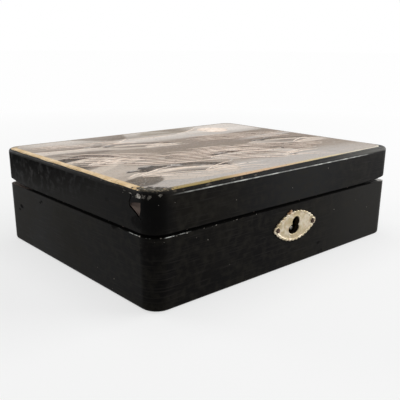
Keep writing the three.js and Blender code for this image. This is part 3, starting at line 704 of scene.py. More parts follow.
# %% [markdown]
# ## Chips of the lid
# Old lacquer breaks off in shells, like glass, where an edge was knocked. Each chip here is a
# real cut in the mesh: a lump or a prism is taken away from the board, and the cut face gets its
# own material, wood, ground coat or grime. The lid's near corner has a torn triangle of bare
# wood and a crack beside it, where the joint has moved, and knocked lacquer along its top. At
# its two far corners the lid's lower edge has lifted and worn away. Small nicks follow the edges
# at uneven distances, thrown with a dice that has a fixed seed.

# %% Lid cuts
dice = random.Random(7)


def edge_nicks(count, edge_from, edge_to, size, materials):
    """Small lumps at uneven places along a straight edge."""
    parts = []
    along = Vector(edge_to) - Vector(edge_from)
    for i in range(count):
        t = (i + dice.uniform(0.1, 0.9)) / count
        centre = [a + (b - a) * t for a, b in zip(edge_from, edge_to)]
        stretch = dice.uniform(1.0, 3.2)
        radii = [size * dice.uniform(0.5, 1.1) * (stretch if abs(part) > 1 else 1.0) for part in along]
        parts.append((lump(centre, radii, dice.uniform(0, 50), detail=1), dice.choice(materials)))
    return parts


TORN_TRIANGLE = [(-69.4, 58.0), (-73.0, 58.9), (-77.2, 59.5), (-77.0, 55.0), (-75.9, 51.6),
                 (-71.6, 54.2), (-68.3, 56.0)]
# A black strip along the lower edge of the torn wood, cut deeper and lined with grime: a painted shadow of
# the broken lacquer's edge
SHADOW_BREAK = [(-68.3, 56.2), (-67.9, 55.7), (-71.7, 53.8), (-76.1, 51.2), (-77.6, 50.3),
              (-77.4, 50.9), (-75.9, 51.8), (-71.6, 54.4)]
OPEN_CRACK = [(-69.6, 62.9), (-69.0, 62.9), (-68.4, 60.4), (-67.2, 58.2), (-67.7, 55.6),
              (-68.3, 55.9), (-67.9, 58.1), (-69.0, 60.3)]
LIFTED_LEFT = [(50.0, 42.0), (52.0, 42.6), (58.0, 43.3), (68.6, 44.0), (75.5, 45.0), (82.0, 45.6),
               (92.0, 46.2), (92.0, 42.0)]
LIFTED_FRONT = [(72.0, 42.0), (75.0, 42.7), (88.0, 43.2), (97.0, 44.0), (103.4, 44.9), (110.0, 46.0),
                (115.0, 46.5), (115.0, 42.0)]
# Knocked lacquer round the near corner's top edge: centre, size, seed, turn about X, roughness
KNOCKS = [
    ((-110.2, -75.8, 62.7), (0.9, 1.9, 1.3), 3, 0, 0.7, ground_coat),
    ((-110.0, -73.6, 62.1), (0.4, 0.8, 0.7), 4, 0, 0.7, dusty_coat),
    ((-109.9, -79.2, 62.9), (0.8, 1.5, 1.5), 5, 0, 0.8, dusty_coat),
    ((-109.4, -80.2, 63.2), (0.4, 0.3, 1.1), 6, 0, 0.8, ground_coat),
    ((-108.4, -82.4, 63.2), (1.1, 1.2, 1.8), 8, 20, 0.8, dusty_coat),
    ((-107.6, -83.1, 63.6), (0.4, 0.4, 1.1), 7, 0, 0.8, ground_coat),
    ((-104.3, -85.8, 64.0), (2.4, 0.6, 0.9), 9, 0, 0.7, dusty_coat),
    ((-110.2, -68.8, 62.9), (0.35, 1.7, 0.3), 12, 0, 0.6, ground_coat),
    ((-110.2, -63.4, 63.3), (0.3, 1.5, 0.3), 14, 0, 0.6, dusty_coat),
]
lid_parts = [(prism(TORN_TRIANGLE, -112.0, -109.55, "X"), bare_wood),
             (prism(SHADOW_BREAK, -112.0, -108.9, "X"), packed_grime_and_shade),
             (prism(OPEN_CRACK, -112.0, -109.1, "X"), packed_grime_and_shade)]
for centre, size, seed, turn, rough, coat in KNOCKS:
    lid_parts.append((lump(centre, size, seed, (turn, 0, 0), rough), coat))
lid_parts += [(lump((-104.7, -85.3, 58.9), (0.35, 0.3, 0.3), 16, detail=1), ground_coat),
              (prism(LIFTED_LEFT, -115.0, -98.6, "X"), packed_grime_and_shade),
              (prism(LIFTED_FRONT, -90.0, -75.4, "Y"), packed_grime_and_shade),
              (groove(1), packed_grime_and_shade)]
lid_parts += edge_nicks(4, (-60, -86.6, 63.4), (60, -86.6, 63.4), 0.2, [dusty_coat])
lid_parts += edge_nicks(7, (-110.1, -58, 63.9), (-110.1, 74, 63.9), 0.3, [bare_wood, dusty_coat])
lid_parts += edge_nicks(6, (-96, -86.6, 43.0), (70, -86.6, 43.0), 0.34, [bare_wood])
lid_parts += edge_nicks(6, (-110.1, -70, 43.0), (-110.1, 46, 43.0), 0.36, [bare_wood])
print("lid cuts", len(lid_parts))

# %% [markdown]
# ## Chips of the body
# The body's upper edge is worn at its two far corners, where the pale ground coat or the wood
# shows, and it has lost single flecks of lacquer along the seam. A few flecks lie on the faces of
# body and lid.

# %% Body cuts
WORN_FRONT = [(80.0, 43.0), (80.0, 42.1), (86.0, 41.8), (93.0, 41.2), (101.0, 40.9), (106.0, 40.6),
              (110.0, 39.9), (115.0, 39.2), (115.0, 43.0)]
WORN_LEFT = [(48.0, 43.0), (48.0, 41.9), (58.0, 41.5), (70.0, 41.3), (78.4, 41.1), (84.0, 40.6),
             (90.0, 40.0), (90.0, 43.0)]
EDGE_FLECKS = [(-34, 41.2), (-50, 41.1), (-52.5, 41.0), (-66, 41.2), (-69, 41.0), (-75, 41.2),
               (-87, 41.1), (-94, 41.0), (-97, 41.2), (-105, 40.9), (-72, 34), (-103, 40), (-55, 15)]
LARGE_FLECK_Z = 34
FRONT_FLECKS = [(-2, -86.62, 52), (69, -86.62, 32), (93, -86.62, 43.4), (-95, -86.62, 59),
                (-106, -85.3, 60)]
LEFT_FLECKS = [(-110.12, 34, 56), (-110.12, -62, 62), (-110.12, -71, 61.5), (-110.12, -74, 53.4),
               (-110.12, -80, 38), (-110.12, -48, 3)]
body_parts = [(groove(-1), packed_grime_and_shade),
              (prism(WORN_FRONT, -90.0, -75.4, "Y"), pale_coat),
              (prism(WORN_LEFT, -115.0, -98.6, "X"), bare_wood),
              (lump((-103.9, -85.8, 41.4), (0.7, 0.5, 0.3), 21), ground_coat),
              (lump((-110.1, -75.7, 41.5), (0.4, 0.9, 0.5), 23), ground_coat),
              (lump((-102.2, -86.3, 39.1), (0.4, 0.3, 0.3), 22, detail=1), dusty_coat)]
for x, z in EDGE_FLECKS:
    high = 0.5 if z == LARGE_FLECK_Z else dice.uniform(0.24, 0.36)
    size = (high * dice.uniform(0.9, 1.6), 0.3, high)
    body_parts.append((lump((x, -86.62, z), size, x, detail=1), dice.choice([ground_coat, dusty_coat])))
flecks = [lump(place, (0.36, 0.3, 0.34), place[0], detail=1) for place in FRONT_FLECKS]
flecks += [lump(place, (0.3, 0.4, 0.3), place[1], detail=1) for place in LEFT_FLECKS]
for fleck, place in zip(flecks, FRONT_FLECKS + LEFT_FLECKS):
    (lid_parts if place[2] > seam_z else body_parts).append((fleck, dusty_coat))

cutters = []
for name, parts in (("lid_cutter", lid_parts), ("body_cutter", body_parts)):
    made = bpy.data.objects.new(name, mesh_of(name, parts))
    bpy.context.scene.collection.objects.link(made)
    cutters.append(made)
lid_cutter, body_cutter = cutters
print("lid cuts", len(lid_parts), "body cuts", len(body_parts))

# %% [markdown]
# ## The boards
# Each board keeps its own solid, with the mortise for the lock, the hinge seats and the rebates
# that the CAD source gives it. Faces on the outside get the worn outer lacquer, faces that look
# into the box get the inner lacquer, and the cuts that the joiner left, such as mortises and
# rebates, stay bare wood. The wood round the keyhole is black with grime.

# %% Faces of the boards
INSIDE_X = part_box("lip_left")[0].x
INSIDE_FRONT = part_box("lock_plate")[1].y
INSIDE_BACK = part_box("body_back_board")[0].y
INSIDE_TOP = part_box("lid_top_panel")[0].z
INSIDE_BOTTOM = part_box("body_bottom_panel")[1].z
SKIN = 3.2 * MM
NEAR = 0.3 * MM
plate_low, plate_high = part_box("escutcheon")
plate_x = (plate_low.x + plate_high.x) / 2
KEYHOLE_X = (plate_x - 8 * MM, plate_x + 5 * MM)
KEYHOLE_Z = (plate_low.z + 2 * MM, plate_high.z - 2 * MM)
KEYHOLE_REAR = -77.2 * MM


def skin_of(face):
    """0 for the outer lacquer, 1 for the inner lacquer, 2 for bare wood, 3 for grimy wood."""
    x, y, z = face.center
    if KEYHOLE_X[0] < x < KEYHOLE_X[1] and KEYHOLE_Z[0] < z < KEYHOLE_Z[1] and y < KEYHOLE_REAR:
        return 3 if abs(face.normal.y) < 0.5 else 0
    on_side = abs(x) > cad_box[1].x - SKIN or abs(y) > HALF_DEPTH * MM - SKIN
    in_mortise = abs(x) < 24 * MM and -86 * MM < y < -78 * MM
    if on_side and not in_mortise:
        return 0
    if z > BOX_TOP - SKIN or z < 0.5 * MM or abs(z - SEAM) < MM:
        return 0
    inner = (abs(abs(x) + INSIDE_X), abs(y - INSIDE_FRONT), abs(y - INSIDE_BACK),
             abs(z - INSIDE_TOP), abs(z - INSIDE_BOTTOM))
    return 1 if min(inner) < NEAR else 2


print("inside", [round(v / MM, 1) for v in (INSIDE_X, INSIDE_FRONT, INSIDE_BACK)], "mm")

# %% [markdown]
# ## Cutting and dressing the boards
# The chips are cut with an exact boolean, which gives each cut face the material of the solid
# that cut it. The cut mesh is then welded and smoothed again, so that the flat faces stay clean.

# %% Boards
def lacquered_board(node, piece_name, body, cutting=None):
    """A board with its chips cut and its faces given outer lacquer, inner lacquer or bare wood."""
    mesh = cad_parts[node].data.copy()
    weld_and_smooth(mesh)
    mesh.materials.clear()
    for material in (lacquer_outside, lacquer_inside, bare_wood, grimy_wood):
        mesh.materials.append(material)
    for face in mesh.polygons:
        face.material_index = skin_of(face)
    board = new_piece(piece_name, mesh, body, node, slot="black_lacquer")
    if cutting:
        cut = board.modifiers.new("chips", "BOOLEAN")
        cut.operation = "DIFFERENCE"
        cut.solver = "EXACT"
        cut.material_mode = "TRANSFER"
        cut.use_self = True
        cut.object = cutting
        graph = bpy.context.evaluated_depsgraph_get()
        cut_mesh = bpy.data.meshes.new_from_object(board.evaluated_get(graph), depsgraph=graph)
        board.modifiers.clear()
        weld_and_smooth(cut_mesh)
        board.data = cut_mesh
    keep_flats_flat(board)
    print(board.name, len(board.data.polygons), "faces")
    return board


for body, kind, cutting in (("body", "board", body_cutter), ("lid", "rail", lid_cutter)):
    for side in ("front", "back", "left", "right"):
        lacquered_board(f"{body}_{side}_{kind}", f"{side}_{kind}_lacquered", body, cutting)
lacquered_board("body_bottom_panel", "bottom_panel_lacquered", "body")

# %% [markdown]
# ## The lid's panel
# The panel is one wide board that lies on the four rails. Its top is coated as the sides are, and
# the decoration is laid on it in coats as thick as strong paper. The panel's flat is lowered by
# 0.12 mm here, so that those coats end at the CAD model's top and the box grows by nothing.

# %% Lid panel
COATS = 0.12
COATS_FADE = 2.0
coat_top = BOX_TOP / MM
panel_top = coat_top - COATS


def room_for_coats(height):
    """How far a point at a height in mm is lowered: nothing 2 mm below the top, all at the top."""
    rise = min(max((height - (coat_top - COATS_FADE)) / COATS_FADE, 0.0), 1.0)
    return COATS * rise * rise * (3 - 2 * rise)


panel = lacquered_board("lid_top_panel", "lid_panel_lacquered", "lid", lid_cutter)
for vert in panel.data.vertices:
    vert.co.z -= room_for_coats(vert.co.z / MM) * MM
print("panel top", round(max(v.co.z for v in panel.data.vertices) / MM, 3), "mm")
for helper in cutters:
    bpy.data.objects.remove(helper)

# %% [markdown]
# ## The lid's ground
# On the real lid, wet lacquer was dusted with silver, gold and brown powder and polished flat
# again. The picture that the powder makes is soft: each form is dense at its rim and fades
# inwards, because the powder was shaken from a tube along a line. Here every form is an oval
# bank, worked out from its middle, its two half lengths and its turn, and the forms are laid over
# each other in order, as the worker would. Noise bends the rims by a few millimetres.

# %% Forms of the ground
WEAR_CORNER = (-108.0, -85.0, coat_top)

# Ovals: middle x and y, half length and half width in mm, and turn in degrees
HILLS = [(-74, 92, 62, 48, -6), (4, 98, 66, 42, 3), (74, 96, 66, 36, -4)]
BANKS = [(-106, -12, 38, 17, 27), (-64, -60, 36, 14, -12), (10, -44, 36, 11, -10),
         (72, -21, 36, 9, -16), (-38, 29, 35, 8, -16)]

# Forms: oval, colour, strength, where the powder starts to thin inwards as a share of the form
# (0 where it doesn't), and softness of the rim
FORMS = [
    # Broad tones: the back left is darker, the right and the front paler, where the pale band along the
    # front is a painted sheen
    ((-92, 40, 86, 60, 0), "#e0d4c8", 0.9, 0.0, 0.45),
    ((60, 10, 120, 70, 10), "#897b6f", 0.78, 0.0, 0.4),
    # A painted sheen along the front edge of the lid's ground
    ((-10, -74, 110, 18, 2), "#c6c0bb", 0.8, 0.0, 0.45),
    ((-40, -4, 74, 22, -25), "#8b7d70", 0.65, 0.0, 0.12),
    ((26, -8, 56, 18, -19), "#8a7d72", 0.55, 0.0, 0.3),
    ((58, 24, 48, 16, -12), "#8b7e73", 0.6, 0.0, 0.3),
    ((-10, 66, 110, 24, 0), "#e4dcd4", 0.9, 0.0, 0.5),
    # Low hills along the back, one before the other
    (HILLS[2], "#75685a", 0.6, 0.75, 0.03), (HILLS[1], "#655748", 0.65, 0.7, 0.03),
    (HILLS[0], "#66584a", 0.75, 0.7, 0.03), ((40, 76, 44, 12, 6), "#8b8068", 0.5, 0.4, 0.1),
    ((88, 64, 40, 24, -6), "#efe7e0", 0.75, 0.0, 0.4),
    # Banks by the stream, pale with a dark foot
    ((-101, 0, 36, 17, 30), "#211a14", 0.95, 0.0, 0.05), (BANKS[0], "#d3c6b8", 1.0, 0.3, 0.05),
    ((-56, -49, 30, 12, -14), "#241d17", 0.95, 0.1, 0.06), (BANKS[1], "#d2c5b8", 1.0, 0.25, 0.05),
    ((-96, -62, 15, 9, 24), "#3d3428", 0.8, 0.0, 0.12), ((14, -35, 32, 9, -12), "#4a3e34", 0.8, 0.0, 0.06),
    (BANKS[2], "#d3c9c0", 1.0, 0.3, 0.06), ((74, -13, 32, 8, -18), "#5f5447", 0.65, 0.0, 0.08),
    (BANKS[3], "#cfc4ba", 0.9, 0.3, 0.07), ((-34, 35, 32, 8, -18), "#4b4035", 0.8, 0.1, 0.07),
    (BANKS[4], "#cdc0b4", 0.95, 0.35, 0.06), ((-84, 30, 26, 6, -8), "#42372d", 0.5, 0.0, 0.1),
    # Mist
    ((46, 42, 62, 6, -3), "#cfc8c2", 0.75, 0.0, 0.4), ((-16, 58, 52, 4.5, 4), "#cbc1b8", 0.7, 0.0, 0.4),
    ((84, 8, 36, 5, 3), "#cdc6c1", 0.7, 0.0, 0.4), ((-84, 56, 30, 4, -4), "#b5a99d", 0.65, 0.0, 0.4),
    ((100, 34, 24, 3.5, 8), "#8a7f70", 0.5, 0.0, 0.3),
]


def form_layer(tree, spot, oval, colour, strength, thin_from, soft):
    """A form's mask and colour: its powder is dense at the rim, and thinner inside."""
    cx, cy, half_long, half_wide, turn = oval
    moved = add(tree, "ShaderNodeVectorMath", {0: spot, 1: (cx * MM, cy * MM, 0.0)},
                operation="SUBTRACT")
    level = add(tree, "ShaderNodeVectorRotate",
                {"Vector": moved, "Axis": (0, 0, 1), "Angle": math.radians(-turn)},
                rotation_type="AXIS_ANGLE")
    shares = add(tree, "ShaderNodeVectorMath",
                 {0: level, 1: (1 / (half_long * MM), 1 / (half_wide * MM), 0.0)}, operation="MULTIPLY")
    out = add(tree, "ShaderNodeVectorMath", {0: shares}, out="Value", operation="LENGTH")
    dense = 1.0
    if thin_from:
        dense = add(tree, "ShaderNodeMapRange", {0: out, 1: thin_from * 0.4, 2: 1.0, 3: 0.12, 4: 1.0},
                    interpolation_type="SMOOTHSTEP")
    return mask(tree, (out, 1.0 + soft, 1.0 - soft), dense, strength), colour


print("forms on the ground", len(FORMS))

# %% [markdown]
# ## Powder under a clear coat
# Over the forms lie the single grains, bright and dark. They are about 0.3 mm wide on the real
# lid, and are drawn 0.7 mm apart, as finer ones wouldn't show. Hairline scratches run mostly one
# way, and the powder is worn to the dark lacquer at the near corner. The clear coat over the
# powder is rubbed satin, so its specular level is low and its mirror image broad.

# %% Ground material
def sprinkled_ground(name):
    """Silver, gold and brown powder under a clear satin coat."""
    material, tree = new_material(name)
    spot = add(tree, "ShaderNodeTexCoord", out="Object")

    drift = add(tree, "ShaderNodeMapping", {"Vector": spot, "Scale": (17.0, 42.0, 20.0),
                                            "Rotation": (0, 0, math.radians(8))})
    clouds = add(tree, "ShaderNodeTexNoise", {"Vector": drift, "Scale": 1.0, "Detail": 6.0,
                                              "Distortion": 0.6})
    base = painted(tree, "#95897d", (mask(tree, (clouds, 0.3, 0.7)), "#c3b7ab"))

    # The forms, with their rims bent by noise
    wander = add(tree, "ShaderNodeTexNoise", {"Vector": spot, "Scale": 70.0, "Detail": 5.0}, out=1)
    wander = add(tree, "ShaderNodeVectorMath", {0: wander, 1: (0.5, 0.5, 0.5)}, operation="SUBTRACT")
    wander = add(tree, "ShaderNodeVectorMath", {0: wander, 1: (9 * MM, 5 * MM, 0.0)},
                 operation="MULTIPLY")
    bent = add(tree, "ShaderNodeVectorMath", {0: spot, 1: wander}, operation="ADD")
    base = painted(tree, base, *[form_layer(tree, bent, *form) for form in FORMS])

    # Bright and dark grains, each picked by one channel of its own random colour
    grains = add(tree, "ShaderNodeTexVoronoi", {"Vector": spot, "Scale": 1450.0}).node.outputs
    pick = add(tree, "ShaderNodeSeparateColor", {0: grains["Color"]}).node.outputs
    silver, golden = mask(tree, (pick[0], 0.78, 0.98)), mask(tree, (pick[1], 0.8, 1.0))
    dark = mask(tree, (pick[2], 0.75, 1.0))

    # Hairline scratches
    brush = add(tree, "ShaderNodeMapping", {"Vector": spot, "Scale": (12.0, 520.0, 20.0),
                                            "Rotation": (0, 0, math.radians(-24))})
    hairs = add(tree, "ShaderNodeTexNoise", {"Vector": brush, "Scale": 1.0, "Detail": 2.0})

    # The rubbed near corner, and single dark specks where powder has fallen out
    ragged = add(tree, "ShaderNodeTexNoise", {"Vector": spot, "Scale": 480.0, "Detail": 5.0})
    worn = mask(tree, near(tree, spot, WEAR_CORNER, 22, 8), ragged)
    pits = add(tree, "ShaderNodeTexVoronoi", {"Vector": spot, "Scale": 60.0}, out="Distance")
    base = painted(tree, base, (mask(tree, silver, 0.3), "#cfc8c0"), (mask(tree, golden, 0.3), "#b58f6c"),
                   (mask(tree, dark, 0.3), "#4c4138"), (mask(tree, (hairs, 0.6, 0.8), 0.55), "#cdbfb4"),
                   (mask(tree, (worn, 0.3, 0.52)), "#2c261b"), (mask(tree, (pits, 0.05, 0.03)), "#4a443d"))

    metal = add(tree, "ShaderNodeMath", {0: silver, 1: golden}, operation="MAXIMUM")
    rough = add(tree, "ShaderNodeMapRange", {0: clouds, 1: 0.3, 2: 0.7, 3: 0.46, 4: 0.6})
    height = add(tree, "ShaderNodeMath", {0: hairs, 1: grains["Distance"]}, operation="ADD")
    surfaced(tree, height, 0.12, 0.05, {"Base Color": base, "Roughness": rough, "IOR": LACQUER_IOR,
                                        "Metallic": mask(tree, metal, 0.3), "Specular IOR Level": 0.05})
    return material


powdered_ground = sprinkled_ground("sprinkled_powder_lacquer")
print("ground nodes", len(powdered_ground.node_tree.nodes))

# %% [markdown]
# ## Powder metal in lacquer
# The border and the drawn lines are metal powder dusted on wet lacquer: a matt metal, not a mirror. Gold
# there is pale and a little brown with age, and worn through in specks. Silver has gone to a warm grey,
# and copper to a dull rose brown. The border differs from side to side, as hands and light have reached it
# differently: creamy gold on the left, olive gold at the front left, and a dull brown haze along the back
# and the right. The almost white stretch at the front right is a painted glare.

# %% Powder metals
def powder_metal(name, bright, dull, worn, wear_from, wear_to, sides=(), corner_reach=30):
    """Metal powder on lacquer, worn through in specks and round the near corner."""
    material, tree = new_material(name)
    spot, *axes = place_on_box(tree)
    patches, specks, crumbs = [
        add(tree, "ShaderNodeTexNoise", {"Vector": spot, "Scale": scale, "Detail": detail})
        for scale, detail in ((120.0, 5.0), (520.0, 5.0), (850.0, 3.0))]
    base = painted(tree, bright, (mask(tree, (patches, 0.36, 0.64)), dull))
    for axis, start, end, colour, strength in sides:
        share = mask(tree, (axes["xyz".index(axis)], start * MM, end * MM), strength)
        base = painted(tree, base, (share, colour))
    at_corner = near(tree, spot, WEAR_CORNER, corner_reach, 0.35 * corner_reach)
    level = add(tree, "ShaderNodeMath", {0: at_corner, 1: 0.34, 2: specks}, operation="MULTIPLY_ADD")
    gone = mask(tree, (level, wear_from, wear_to))
    under = painted(tree, worn, (mask(tree, (crumbs, 0.5, 0.62)), "#7d7360"))
    metal = add(tree, "ShaderNodeMapRange", {0: gone, 3: 0.6, 4: 0.0})
    surfaced(tree, specks, 0.4, 0.05, {"Base Color": painted(tree, base, (gone, under)),
                                       "Metallic": metal, "Roughness": 0.5,
                                       "Specular IOR Level": 0.08})
    return material


# Where the border changes its colour: axis, from and to in mm, colour, strength
# The almost white stretch from x 30 to 84 mm is a painted glare at the front right
BORDER_SIDES = [("x", -100, -92, "#94814f", 1.0), ("x", -64, -40, "#c9aa86", 1.0),
                ("x", -20, 30, "#cbb98c", 1.0), ("x", 30, 84, "#cfc9bb", 0.9),
                ("x", 103, 105.5, "#a0958b", 0.85), ("y", 76, 80, "#8f857a", 0.85)]
gold_powder = powder_metal("aged_gold_powder", "#dcc49f", "#c6a97c", "#2b2518", 0.62, 0.72,
                           BORDER_SIDES, corner_reach=21)
pale_gold_powder = powder_metal("pale_gold_powder_lines", "#f6e8db", "#e3cfbe", "#8a7b70", 0.60, 0.70)
silver_powder = powder_metal("aged_silver_powder", "#c6c0ba", "#aba29b", "#7b7169", 0.60, 0.70)
brown_powder = powder_metal("brown_iron_powder", "#4b4036", "#37302a", "#6a5f55", 0.60, 0.70)
copper_powder = powder_metal("aged_copper_powder", "#86695a", "#6f594c", "#8a7b70", 0.56, 0.68)
print("powders", [m.name for m in (gold_powder, silver_powder, brown_powder, copper_powder)])

# %% [markdown]
# ## Ground plate and gold border
# The border is a hand-drawn band, about 4 mm wide on the left and at the front left, and thinner
# on the other sides. It runs so close to the edge on the left that its outer half lies on the
# rounding. Its width wavers a little, as a brush line does. The ground is a closed plate inside
# the border's middle line, and the border a closed band that follows the panel's rounded edge.

# %% Ground plate and gold border
EDGE_ROUNDING = 2.4
BORDER_CORNERS = [(-107.1, -83.8), (106.2, -80.8), (106.2, 82.6), (-106.8, 83.0)]
BORDER_RADIUS = 8.5
# Section of the border: across from its outer edge, and height over the panel in mm
BORDER_SECTION = [(1.0, -0.06), (1.0, 0.04), (0.5, 0.075), (0.0, 0.085), (-0.5, 0.09), (-1.0, 0.08),
                  (-1.0, -0.06)]


def panel_height(x, y):
    """Height of the bare panel in mm, with its rounded edge and the room left for the coats."""
    corner_x, corner_y = HALF_LENGTH - BOX_RADIUS, HALF_DEPTH - BOX_RADIUS
    if abs(x) > corner_x and abs(y) > corner_y:
        from_side = BOX_RADIUS - math.hypot(abs(x) - corner_x, abs(y) - corner_y)
    else:
        from_side = min(HALF_LENGTH - abs(x), HALF_DEPTH - abs(y))
    over = max(EDGE_ROUNDING - from_side, 0.0)
    bare = coat_top - EDGE_ROUNDING + math.sqrt(max(EDGE_ROUNDING ** 2 - over ** 2, 0.0))
    return bare - room_for_coats(bare)


def border_half_width(x, y):
    """The border is broad on the left and at the front left, and thin at the back and right."""
    if x < -104:
        return 2.05
    if y < -70:
        return 1.85 - 0.95 * min(max((x + 30) / 110, 0.0), 1.0)
    return 0.9


line, outward = rounded_line(BORDER_CORNERS, BORDER_RADIUS)
ground_plate = prism(line, panel_top - 0.03, panel_top + 0.04)
new_piece("lid_sprinkled_ground", mesh_of("ground", [(ground_plate, powdered_ground)]), "lid",
          slot="lid_ground")

border_points = []
for place, way in zip(line, outward):
    waver = 0.2 * noise.noise(Vector((place.x * 0.06, place.y * 0.06, 3.0)))
    thick = border_half_width(place.x, place.y)
    thick += 0.25 * noise.noise(Vector((place.x * 0.09, place.y * 0.09, 9.0)))
    for across, rise in BORDER_SECTION:
        spot = place + way * (thick * across + waver)
        border_points.append((*spot, panel_height(*spot) + rise))
border = (border_points, woven(len(line), len(BORDER_SECTION)))
new_piece("lid_gold_border", mesh_of("border", [(border, gold_powder)]), "lid", slot="lid_ground")
print("border", len(border[1]), "faces, line", len(line), "points")

# %% [markdown]
# ## The drawing on the lid
# The lid carries a plain landscape of stock motifs: running water, banks with stones and reeds,
# low hills and a moon in the mist. They are strokes that a brush would leave: thin at the start,
# full in the middle and thin at the end, raised by the thickness of the powder. Each stroke is a
# closed ribbon, and each motif is one piece.

# %% Stroke helpers
STROKE_LOW = panel_top + 0.02
STROKE_TOP = coat_top - 0.01


def stroke(points, width):
    """A closed ribbon along points in mm, with its full width in the middle and thin ends."""
    high = STROKE_TOP - dice.uniform(0.0, 0.03)
    points = [Vector(p) for p in points]
    made = []
    last = len(points) - 1
    for i, here in enumerate(points):
        onward = points[min(i + 1, last)] - points[max(i - 1, 0)]
        sideways = Vector((-onward.y, onward.x)).normalized()
        t = min(max(i / last, 0.03), 0.97)
        half = width / 2 * (0.18 + 0.82 * math.sin(math.pi * t) ** 0.6)
        a, b = here + sideways * half, here - sideways * half
        made += [(*a, STROKE_LOW), (*a, high), (*b, high), (*b, STROKE_LOW)]
    ends = [[0, 1, 2, 3], [4 * last + k for k in (3, 2, 1, 0)]]
    return made, woven(len(points), 4, closed=False) + ends


def plate(outline):
    """A closed thin plate with the given outline in mm."""
    return prism(outline, STROKE_LOW, STROKE_TOP - dice.uniform(0.032, 0.04))


def motif(name, parts, material):
    """Joins strokes and plates into one piece that rides on the lid."""
    mesh = mesh_of(name, [(part, material) for part in parts])
    new_piece(name, mesh, "lid", slot="lid_ground")
    print(name, len(parts), "strokes,", len(mesh.polygons), "faces")


print("strokes from", round(STROKE_LOW, 2), "to", round(STROKE_TOP, 2), "mm high")

# %% [markdown]
# ## Places on the lid
# Lines stop short of the gold border, as a brush does, so each line is cut to its longest run
# inside it. Hills, banks and the moon are ovals, and their rims are drawn by walking round them.

# %% Places on the lid
FIELD = (-105, 105, -80, 82)  # inside the border: left, right, front and back in mm


def inside_border(x, y, gap=3.0):
    """True where a point in mm lies inside the gold border, with a gap to it."""
    left, right, front, back = FIELD
    return left + gap < x < right - gap and front + gap < y < back - gap


def clipped(points, gap=3.0):
    """The longest run of points inside the border."""
    runs, run = [], []
    for p in points:
        if inside_border(*p, gap):
            run.append(p)
        else:
            runs.append(run)
            run = []
    runs.append(run)
    return max(runs, key=len)


def on_oval(oval, angle, inset=1.0):
    """The point at an angle on an oval, or on a smaller one inside it."""
    cx, cy, half_long, half_wide, turn = oval
    lean = math.radians(turn)
    along, across = inset * half_long * math.cos(angle), inset * half_wide * math.sin(angle)
    return (cx + along * math.cos(lean) - across * math.sin(lean),
            cy + along * math.sin(lean) + across * math.cos(lean))


print("field for the drawing", FIELD[1] - FIELD[0], "by", FIELD[3] - FIELD[2], "mm")

# %% [markdown]
# ## Running water
# Water is drawn as streams of wavy lines that stay side by side: the wave depends on the place
# along the stream, and shifts a little from line to line. The lines are about 1.5 mm wide and
# 5 mm apart, as on lids of this kind, and broken into strokes of uneven length. Below each pale
# line runs a thin copper one, which gives the water its depth.

# %% Running water
def water_line(start, length, heading, row, width):
    """One wavy line of water from a start point in mm, or nothing where the border cuts it short."""
    along, across = math.cos(heading), math.sin(heading)
    from_first = start[0] * along + start[1] * across
    points = []
    steps = max(int(length / 2.0), 6)
    for k in range(steps + 1):
        t = length * k / steps
        off = 2.6 * math.sin((from_first + t) * 0.05 + row * 0.12)
        off += 0.5 * math.sin((from_first + t) * 0.21 + row * 0.5)
        points.append((start[0] + t * along - off * across, start[1] + t * across + off * along))
    points = clipped(points, 1.5)
    return [stroke(points, width)] if len(points) > 5 else []


# Streams: where the first line starts, heading in degrees, number of lines, gap, and length
STREAMS = [((-92, 26), -25, 8, 5.0, 136), ((-22, 2), -19, 5, 4.8, 100), ((20, 38), -12, 5, 5.2, 78),
           ((-98, 66), -6, 3, 4.8, 62)]
SHADE_OFFSET = 1.7
SHADE_SHORTER = 4
water, shades = [], []
for start, heading_degrees, rows, gap, length in STREAMS:
    heading = math.radians(heading_degrees)
    onward = Vector((math.cos(heading), math.sin(heading)))
    downward = Vector((math.sin(heading), -math.cos(heading)))
    for row in range(rows):
        first = Vector(start) + onward * dice.uniform(-8, 10) + downward * row * gap
        done = 0.0
        while done < length:
            piece_length = dice.uniform(26, 84)
            drawn = min(piece_length, length - done + 6)
            spot = first + onward * done
            water += water_line(spot, drawn, heading, row, dice.uniform(1.2, 1.7))
            below = spot + downward * SHADE_OFFSET
            shades += water_line(below, drawn - SHADE_SHORTER, heading, row, 0.9)
            done += piece_length + dice.uniform(2, 8)
motif("lid_water_lines", water, pale_gold_powder)
motif("lid_water_shades", shades, copper_powder)

# %% [markdown]
# ## Stones and the moon
# A stone is a dark plate with a level foot and a broken top, lit by two silver strokes: one along
# its crest, and a shorter one for a facet inside it. The moon is a plain round plate of pale
# gold, half in the mist.

# %% Stones and the moon
def stone(cx, cy, width, seed):
    """A flat stone's outline with a level foot and a broken top."""
    outline = []
    for k in range(11):
        angle = math.pi * k / 10
        reach = width * (0.8 + 0.35 * noise.noise(Vector((seed, k * 0.9, 1.0))))
        outline.append((cx + reach * math.cos(angle), cy + 0.55 * reach * math.sin(angle)))
    return outline + [(cx - width * 0.5, cy - width * 0.14), (cx + width * 0.45, cy - width * 0.16)]


# Middle x and y, and half width in mm
STONES = [(-74, -36, 9.5), (-58, -42, 7.0), (-88, -40, 6.0), (-8, -30, 8.0), (8, -27, 5.5), (52, -8, 8.5),
          (66, -4, 5.5), (-52, 40, 7.5), (-66, 44, 5.5), (28, -62, 6.0)]
dark_stones, stone_lights = [], []
for number, (cx, cy, width) in enumerate(STONES):
    outline = stone(cx, cy, width, number * 3.1)
    dark_stones.append(plate(outline))
    stone_lights.append(stroke([(x, y + 0.5) for x, y in outline[2:9]], 1.3))
    facet = [(cx + (x - cx) * 0.55, cy + (y - cy) * 0.55) for x, y in outline[3:8]]
    stone_lights.append(stroke(facet, 0.9))
motif("lid_stones", dark_stones, brown_powder)
motif("lid_stone_lights", stone_lights, silver_powder)

